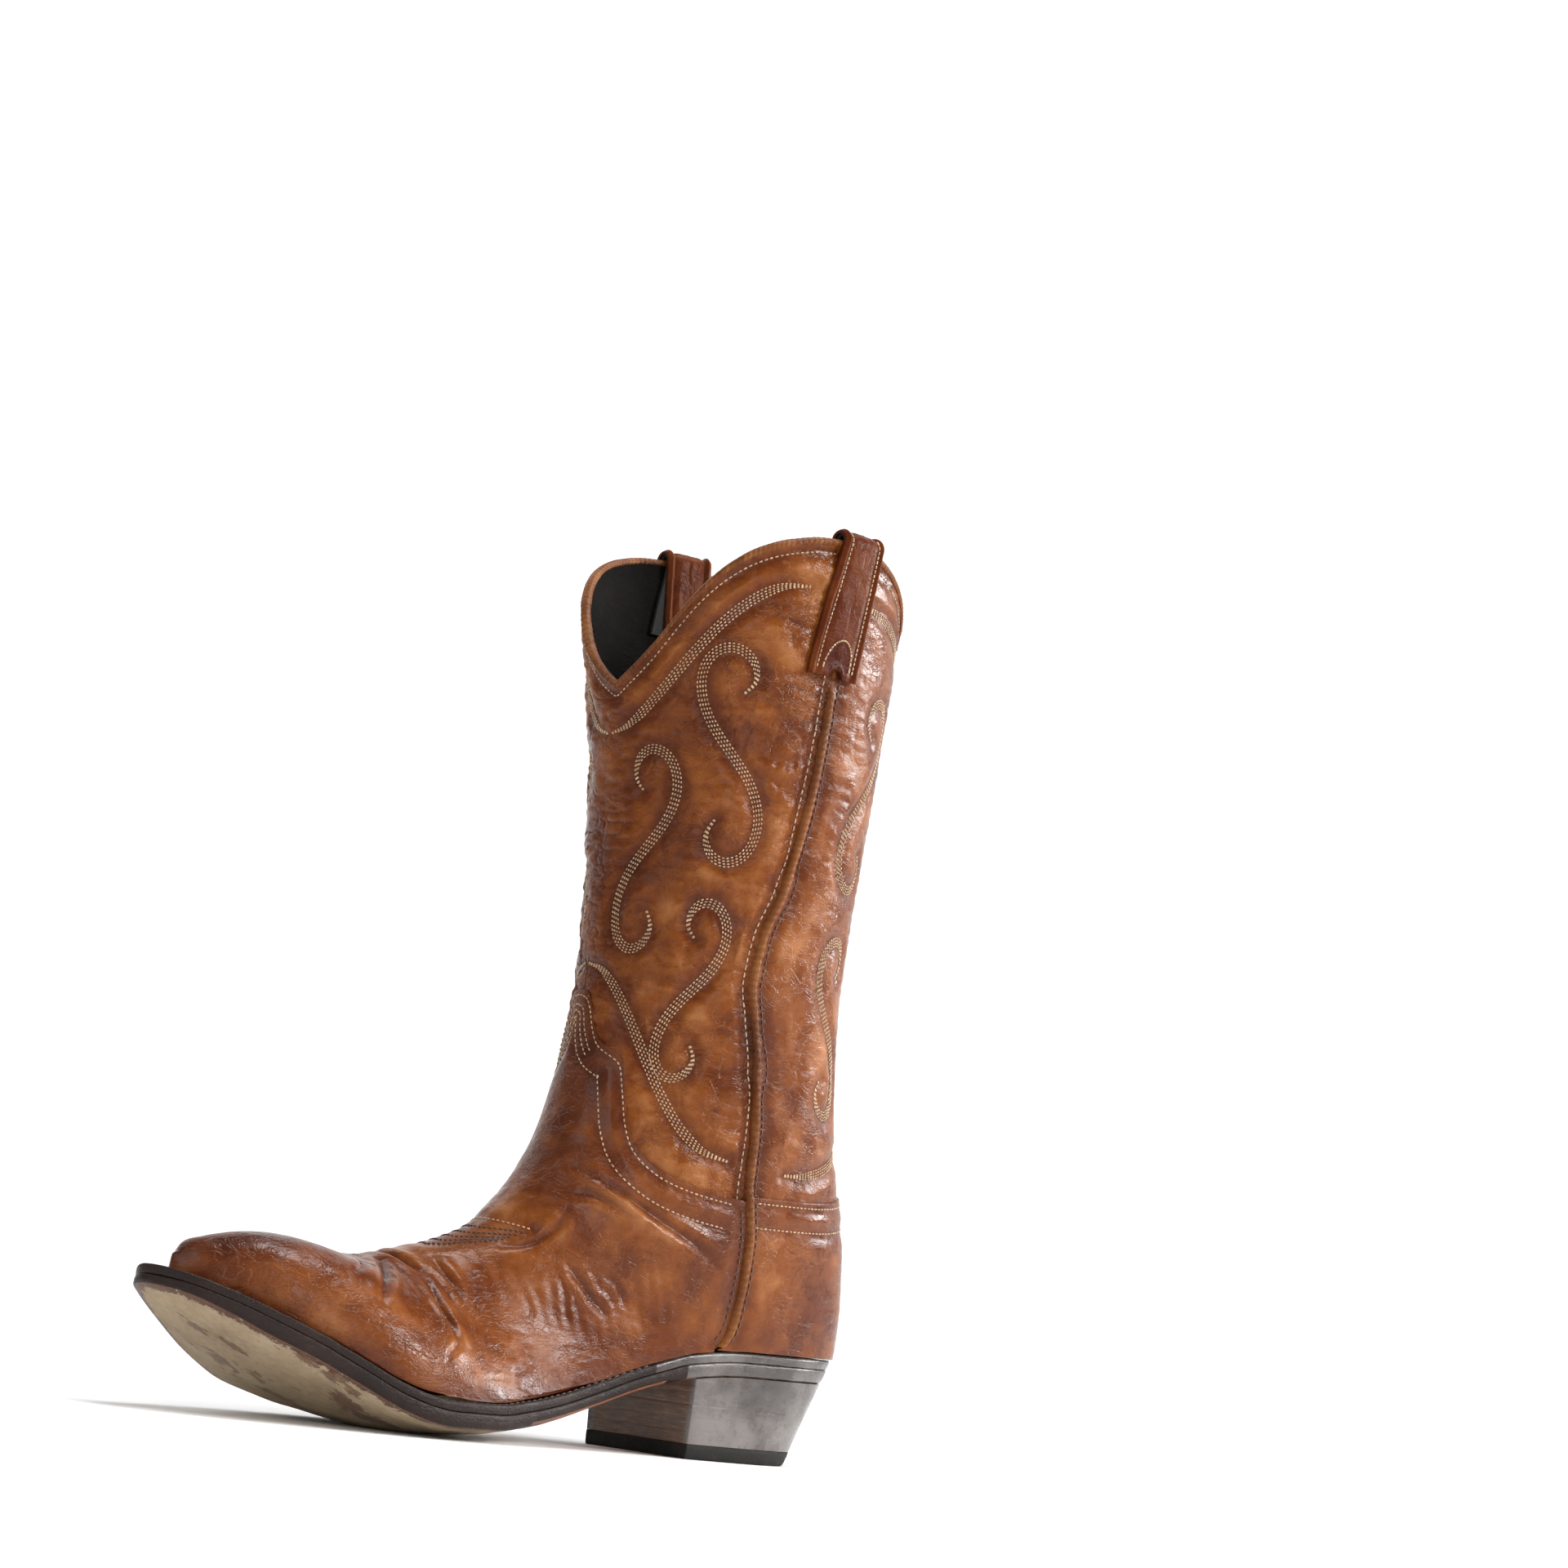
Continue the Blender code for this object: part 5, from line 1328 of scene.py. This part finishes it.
def foot_line(out=0.0, count=620):
    """The sole's line seen from above, from the heel round the inner side to the toe and back.

    It returns the line, which way is outwards, and how far it stands outside the upper."""
    back = master(LAST_RING, 180 - 90 * np.linspace(0, 1, 15))[:, :2]
    t = LAST_RING + (LAST_ARCH - LAST_RING) * (1 - (1 - np.linspace(0, 1, 34)[1:]) ** 1.6)
    inner = np.vstack([back, master(t, 90.0)[:, :2]])
    outer = np.vstack([master(LAST_RING, -180 + 90 * np.linspace(0, 1, 15))[:, :2], master(t, -90.0)[:, :2]])
    foot = np.vstack([inner, outer[::-1][:-1]])
    amount = out(foot[:, 1]) if callable(out) else np.full(len(foot), float(out))
    edge = spline_loop(rounded_toe(foot + outwards(foot) * amount[:, None]), count)
    fine = spline_loop(foot, 900)
    away = np.sqrt(((edge[:, None, :] - fine[None, :, :]) ** 2).sum(-1)).min(1)
    normal = outwards(edge, 3)
    for _ in range(6):
        normal = 0.5 * normal + 0.25 * (np.roll(normal, 1, 0) + np.roll(normal, -1, 0))
    return edge, normal / np.linalg.norm(normal, axis=1, keepdims=True), away


def heel_taper(points):
    """The heel, its seat and its rand narrow towards the ground in one line."""
    points = np.array(points, float)
    down = np.clip(1 - points[..., 2] / SEAT_TOP, 0, 1)
    here = 1 - ramp(points[..., 1], 70, 112)
    points[..., 0] *= 1 - HEEL_NARROWING * 1.25 * down * here
    points[..., 1] += (BREAST_F - np.minimum(points[..., 1], BREAST_F)) * HEEL_UNDERCUT * 1.25 * down
    return points


def overhang(f):
    return smooth_line(OVERHANG, f)


def painted_reflection_reach(points):
    """How far the heel's painted grey reflection reaches: least at the back, and fading out into the waist."""
    f = np.asarray(points, float)[..., 1]
    return ((0.15 + 0.85 * ramp(f, 10, 34)) * (1 - ramp(f, 70, 96))).ravel()


def build_sole():
    edge, normal, amount = foot_line(overhang)
    spine_f = np.clip(edge[:, 1], 34, 262)
    spine = np.stack([smooth_line([r[:2] for r in SOLE_MIDDLE], spine_f) * 0.6, spine_f], -1)
    waisted = ramp(edge[:, 1], 84, 97) * (1 - ramp(edge[:, 1], 132, 165))
    scuffed = ramp(edge[:, 1], 258, 290)
    nicks = 0.10 * value_noise(np.column_stack([edge, edge[:, 0] * 0]), (7, 7, 7), 50) + 0.07 * value_noise(
        np.column_stack([edge, edge[:, 0] * 0]), (2.2, 2.2, 2.2), 51)

    def row(inset, dz, share=0.0, under=0.0, lost=0.0):
        at_edge = edge - normal * (inset + nicks * (inset < 2) + under * waisted)[:, None]
        at_edge = at_edge + (spine - at_edge) * share
        z = sole_height(at_edge[:, 1], at_edge[:, 0]) + dz + lost * scuffed
        return heel_taper(np.column_stack([at_edge, z]))

    wall = [(2.5, 5.35), (0.8, 5.33), (0.25, 5.15), (0.06, 4.6), (0.0, 3.4), (0.0, 2.6, 0, 0.2, 0.5), (0.05, 1.7, 0, 0.8, 1.2),
            (0.25, 0.9, 0, 1.9, 1.8), (0.75, 0.25, 0, 3.4, 2.1), (1.5, 0.0, 0, 5.0, 2.0)]
    rows = [row(*w) for w in wall]
    wear_rows = [np.full(len(edge), 0.0)] * 8 + [np.full(len(edge), 0.2)] * 2
    reach = np.linalg.norm(spine - edge, axis=1)
    pits = 0.16
    for share in np.concatenate([np.linspace(0.02, 0.3, 14), np.linspace(0.34, 1.0, 14)]):
        r = row(1.5, 0.0, share, 5.0 * (1 - share), 2.0 * max(1 - 3 * share, 0))
        r[:, 2] += pits * value_noise(r, (5, 9, 5), 52) * min(share * 8, 1)
        rows.append(r)
        deep = 1.5 + share * reach
        walked = ramp(r[:, 1], 120, 150)
        wear_rows.append(np.clip(deep / 10, 0, 1.3) * walked)
    points = np.stack(rows)
    waist = 1 - ramp(points[..., 1], 128, 162)
    wear = np.stack(wear_rows)
    quads = facing_out(points.reshape(-1, 3), grid_quads(*points.shape[:2], wrap=True), lambda p: np.column_stack(
        [p[:, 0] * 0, np.clip(p[:, 1], 40, 260), sole_height(p[:, 1]) + 4]))
    side = quads.reshape(len(rows) - 1, -1, 4)
    # The seat field carries the painted grey reflection for the heel end of the sole's edge.
    fields = {"tone": waist.ravel(), "wear": wear.ravel(), "seat": painted_reflection_reach(points)}
    outsole = make_piece("outsole", points, [side[:8].reshape(-1, 4), side[8:].reshape(-1, 4)], EDGE, points, fields)
    outsole.data.materials.append(BOTTOM)
    outsole.data.materials.append(STACK)
    index = np.zeros(len(outsole.data.polygons), np.int32)
    index[points.reshape(-1, 3)[quads].mean(1)[:, 1] < BREAST_F + 3] = 2
    index[side[:8].size // 4:] = 1
    middles = points.reshape(-1, 3)[quads].mean(1)[:, 1]
    lowest = np.arange(len(index)) >= side[:6].size // 4
    index[lowest & (middles > 92) & (middles < 156)] = 1
    outsole.data.polygons.foreach_set("material_index", index)
    ball(outsole)
    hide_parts("outsole_rear", "outsole_front")

    # The welt, and the rand that carries it round the heel.
    base = OUTSOLE_THICK + GAP
    welt_rows = []
    for kind, value, dz in (("in", 1.6, -0.12), ("in", 0.6, -0.08), ("in", 0.36, 0.22), ("in", 0.32, 1.6), ("in", 0.4, 2.6),
                            ("in", 0.75, 3.2), ("in", 1.35, 3.45), ("share", 0.42, 3.40), ("share", 0.52, 3.18),
                            ("share", 0.62, 3.42), ("share", 0.85, 3.5), ("over", 1.2, 3.55), ("over", 3.2, 3.4)):
        inset = {"in": value + nicks, "share": value * amount, "over": amount + value}[kind]
        inset = np.maximum(inset, 0.3)
        at_edge = edge - normal * inset[:, None]
        z = sole_height(at_edge[:, 1], at_edge[:, 0]) + base + dz
        welt_rows.append(heel_taper(np.column_stack([at_edge, z])))
    points = np.stack(welt_rows)
    points[..., 2] += 0.08 * value_noise(points, (4, 4, 4), 53)
    quads = facing_out(points.reshape(-1, 3), grid_quads(*points.shape[:2], wrap=True), lambda p: np.column_stack(
        [p[:, 0] * 0, np.clip(p[:, 1], 40, 260), sole_height(p[:, 1]) + 4]))
    rear = points.reshape(-1, 3)[quads].mean(1)[:, 1] < 97
    ledge = np.zeros(points.shape[:2])
    ledge[6:] = 0.10
    # The seat field carries the painted grey reflection on the rand.
    fields = {"tone": np.zeros(points.shape[:2]).ravel(), "wear": ledge.ravel(), "seat": painted_reflection_reach(points)}
    welt, rand = split_pieces(("welt", "rand"), points.reshape(-1, 3), quads, (~rear, rear), EDGE, points.reshape(-1, 3),
                              fields)
    rand.data.materials[0] = STACK
    ball(welt)
    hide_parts("medial_welt", "lateral_welt", "toe_welt")
    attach(rand, "foot")
    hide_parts("heel_rand")

    line = edge - normal * np.maximum(0.52 * amount, 0.3)[:, None]
    line = line[line[:, 1] > 100]
    # The loop starts at the heel's back, so this runs up the inner side, round the toe and down the outer side.
    s = np.concatenate([[0], np.cumsum(np.linalg.norm(np.diff(line, axis=0), axis=1))])
    at_s = np.linspace(0, s[-1], int(s[-1] / 3.1))
    line = np.stack([np.interp(at_s, s, line[:, k]) for k in range(2)], -1)
    line = np.column_stack([line, sole_height(line[:, 1], line[:, 0]) + base + 3.32])
    far = np.linalg.norm(np.diff(line, axis=0), axis=1) < 4.0
    up = np.tile([0, 0, 1.0], (len(line) - 1, 1))
    sewn = capsules("stitches_welt", line[:-1][far], line[1:][far], up[far], 0.42, DARK_THREAD, gap=0.75)
    ball(sewn)


def heel_ring(z, inset=0.0, count=190, across=64):
    """The heel's outline at a height: round the back, then along the breast; and how far along the breast it is."""
    edge, normal, _ = foot_line(overhang)
    curve = edge - normal * inset
    order = np.roll(np.arange(len(curve)), len(curve) // 2)
    curve = curve[order]
    keep = curve[:, 1] <= BREAST_F - 0.01
    curve = curve[keep]
    s = np.concatenate([[0], np.cumsum(np.linalg.norm(np.diff(curve, axis=0), axis=1))])
    at_s = np.linspace(0, s[-1], count)
    curve = np.stack([np.interp(at_s, s, curve[:, k]) for k in range(2)], -1)
    down = 1 - np.clip(np.broadcast_to(z, count + across) / SEAT_TOP, 0, 1)
    curve[:, 0] *= 1 - HEEL_NARROWING * 1.25 * down[:count]
    curve[:, 1] = BREAST_F - (BREAST_F - curve[:, 1]) * (1 - HEEL_UNDERCUT * 1.25 * down[:count])
    u = np.linspace(0, 1, across + 2)[1:-1]
    breast = curve[-1] + (curve[0] - curve[-1]) * u[:, None]
    breast[:, 1] -= inset + 1.8 * np.sin(np.pi * u) ** 0.8 * (0.6 + 0.4 * down[count:])
    width = np.linalg.norm(curve[-1] - curve[0])
    share = np.concatenate([np.zeros(count), np.minimum(u, 1 - u) * width])
    return np.vstack([curve, breast]), share


def build_heel():
    low = HEEL_CAP_THICK + 0.04
    heights = np.linspace(low, HEEL_TOP + 6, 84)
    rows, wears = [], []
    for k, z in enumerate(heights):
        layer = (z - low) % 4.62
        line = 0.07 * math.exp(-((layer / 0.28) ** 2)) + 0.07 * math.exp(-(((layer - 4.62) / 0.28) ** 2))
        band = int((z - low) / 4.62)
        line += 0.04 * math.sin(band * 2.4)
        ring, share = heel_ring(z, 0.25 + line)
        top = sole_height(ring[:, 1], ring[:, 0]) - 0.02
        ring, share = heel_ring(np.minimum(z, top), 0.25 + line)
        rows.append(np.column_stack([ring, np.minimum(z, top)]))
        wears.append(ramp(share, 1.2, 4.0))
    points = np.stack(rows)
    shake = 0.10 * value_noise(points, (9, 9, 14), 60)
    middle = np.array([0, 46, 0])
    outwards = (points - middle) * np.array([1, 1, 0])
    outwards /= np.linalg.norm(outwards, axis=-1, keepdims=True)
    points += outwards * shake[..., None]
    quads = facing_out(points.reshape(-1, 3), grid_quads(*points.shape[:2], wrap=True), lambda p: np.column_stack(
        [p[:, 0] * 0, p[:, 0] * 0 + 46, p[:, 2]]))
    # The seat field carries the painted grey reflection on the heel's side.
    fields = {"tone": np.zeros(points.shape[:2]).ravel(), "wear": np.stack(wears).ravel(), "seat": painted_reflection_reach(points)}
    stack = make_piece("heel_stack", points, [quads], STACK, points, fields)
    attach(stack, "foot")
    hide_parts(*(f"heel_lift_{i}" for i in range(1, 6)))

    rows = []
    profile = ((HEEL_CAP_THICK, 1.5), (HEEL_CAP_THICK, 0.5), (HEEL_CAP_THICK - 0.35, 0.12), (3.6, 0.0), (1.6, 0.05),
               (0.6, 0.2), (0.15, 0.65), (0.0, 1.3))
    for z, inset in profile:
        ring, _ = heel_ring(z, inset)
        rows.append(np.column_stack([ring, np.full(len(ring), z)]))
    centre = np.array([0, 48, 0.0])
    for share in (0.15, 0.4, 0.7, 0.995):
        rows.append(rows[7] + (centre - rows[7]) * share)
    points = np.stack(rows)
    quads = facing_out(points.reshape(-1, 3), grid_quads(*points.shape[:2], wrap=True), lambda p: np.column_stack(
        [p[:, 0] * 0, p[:, 0] * 0 + 46, p[:, 2] * 0 + 3]))
    cap = make_piece("heel_top_lift", points, [quads], RUBBER, points, {"tone": np.zeros(points.shape[:2]).ravel(),
                     "wear": np.zeros(points.shape[:2]).ravel()})
    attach(cap, "foot")
    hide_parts("heel_cap")


def dress_cad():
    """Better materials for the solids that stay as they are, most of them inside the boot."""
    groups = {
        "lining_leather": ("heel_sock", "toe_puff", "counter_stiffener"),
        "sole_leather": ("insole_rear", "insole_front"),
        "cork": ("cork_filler_rear", "cork_filler_front"),
        "wood": tuple(f"{s}_peg_{i}" for s in ("medial", "lateral") for i in (1, 2, 3)),
        "steel": ("shank", "heel_nail_1", "heel_nail_2", "heel_nail_3"),
    }
    for key, names in groups.items():
        for name in names:
            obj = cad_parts[name]
            for slot in obj.material_slots:
                slot.material = INNER[key]
    webbing = plain("strap_webbing_tape", (0.008, 0.0075, 0.007), (0.022, 0.020, 0.018), 0.85, 1.5)
    for name in ("medial_strap_webbing", "lateral_strap_webbing"):
        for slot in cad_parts[name].material_slots:
            slot.material = webbing


# --- light, floor and camera -----------------------------------------------------------------------------------------


def build_stage():
    """A pale floor that curves up far behind, soft light and the camera."""
    g = Graph("pale_floor")
    where = g.add("ShaderNodeTexCoord").outputs["Object"]
    g.done(g.mix(g.noise(where, 3.0, 2.0), (0.86, 0.86, 0.86), (0.90, 0.90, 0.90)), 0.8)
    look = Vector((-0.7680, 0.6266, 0)).normalized()
    side = Vector((look.y, -look.x, 0))
    profile = [(-3.5, 0.0), (1.6, 0.0)] + [(1.6 + 2.4 * math.sin(a), 2.4 - 2.4 * math.cos(a)) for a in
                                         np.linspace(0.05, math.pi / 2, 24)] + [(4.0, 6.0)]
    verts, faces = [], []
    for along, up in profile:
        for across in (-7, 7):
            p = look * along + side * across
            verts.append((p.x, p.y, up))
    for i in range(len(profile) - 1):
        faces.append((2 * i, 2 * i + 1, 2 * i + 3, 2 * i + 2))
    mesh = bpy.data.meshes.new("studio_floor")
    mesh.from_pydata(verts, [], faces)
    mesh.shade_smooth()
    floor = bpy.data.objects.new("studio_floor", mesh)
    floor.data.materials.append(g.material)
    bpy.context.scene.collection.objects.link(floor)

    target = Vector((0, 0.0, 0.15))

    def lamp(name, place, size, power, tint=(1, 1, 1)):
        light = bpy.data.lights.new(name, "AREA")
        light.shape, light.size, light.energy, light.color = "SQUARE", size, power, tint
        obj = bpy.data.objects.new(name, light)
        obj.location = place
        obj.rotation_euler = (target - Vector(place)).to_track_quat("-Z", "Y").to_euler()
        bpy.context.scene.collection.objects.link(obj)
        return obj

    lamp("key", (1.35, 1.05, 0.85), 0.40, 23)
    lamp("rear", (0.45, 1.75, 0.65), 0.42, 17)
    lamp("top", (0.25, 0.35, 1.7), 0.7, 20)
    lamp("fill", (0.3, -1.7, 0.9), 1.2, 9)
    lamp("low", (1.5, -0.5, 0.3), 0.6, 5)
    for across in (-1.6, 1.6):
        place = look * 1.9 + side * across + Vector((0, 0, 2.6))
        way = look * 4 + side * across * 0.6 + Vector((0, 0, 0.6)) - place
        lamp("backdrop", place, 1.6, 52).rotation_euler = way.to_track_quat("-Z", "Y").to_euler()

    world = bpy.data.worlds.new("studio")
    bpy.context.scene.world = world
    world.use_nodes = True
    world.node_tree.nodes["Background"].inputs["Color"].default_value = (1, 1, 1, 1)
    world.node_tree.nodes["Background"].inputs["Strength"].default_value = 0.28

    bpy.context.scene.view_settings.view_transform = "Standard"

    data = bpy.data.cameras.new("camera")
    data.lens, data.sensor_width = 93.75, 36
    camera = bpy.data.objects.new("camera", data)
    right, up, back = (0.6398, 0.7601, 0.1134), (0.0297, -0.1719, 0.9847), (0.7680, -0.6266, -0.1326)
    matrix = Matrix((right, up, back)).transposed().to_4x4()
    matrix.translation = (1.1728, -0.85481, 0.0479)
    camera.matrix_world = matrix
    bpy.context.scene.collection.objects.link(camera)
    bpy.context.scene.camera = camera


build_upper()
build_pipings()
build_edging()
build_linings()
build_straps()
build_sole()
build_heel()
dress_cad()
build_stage()
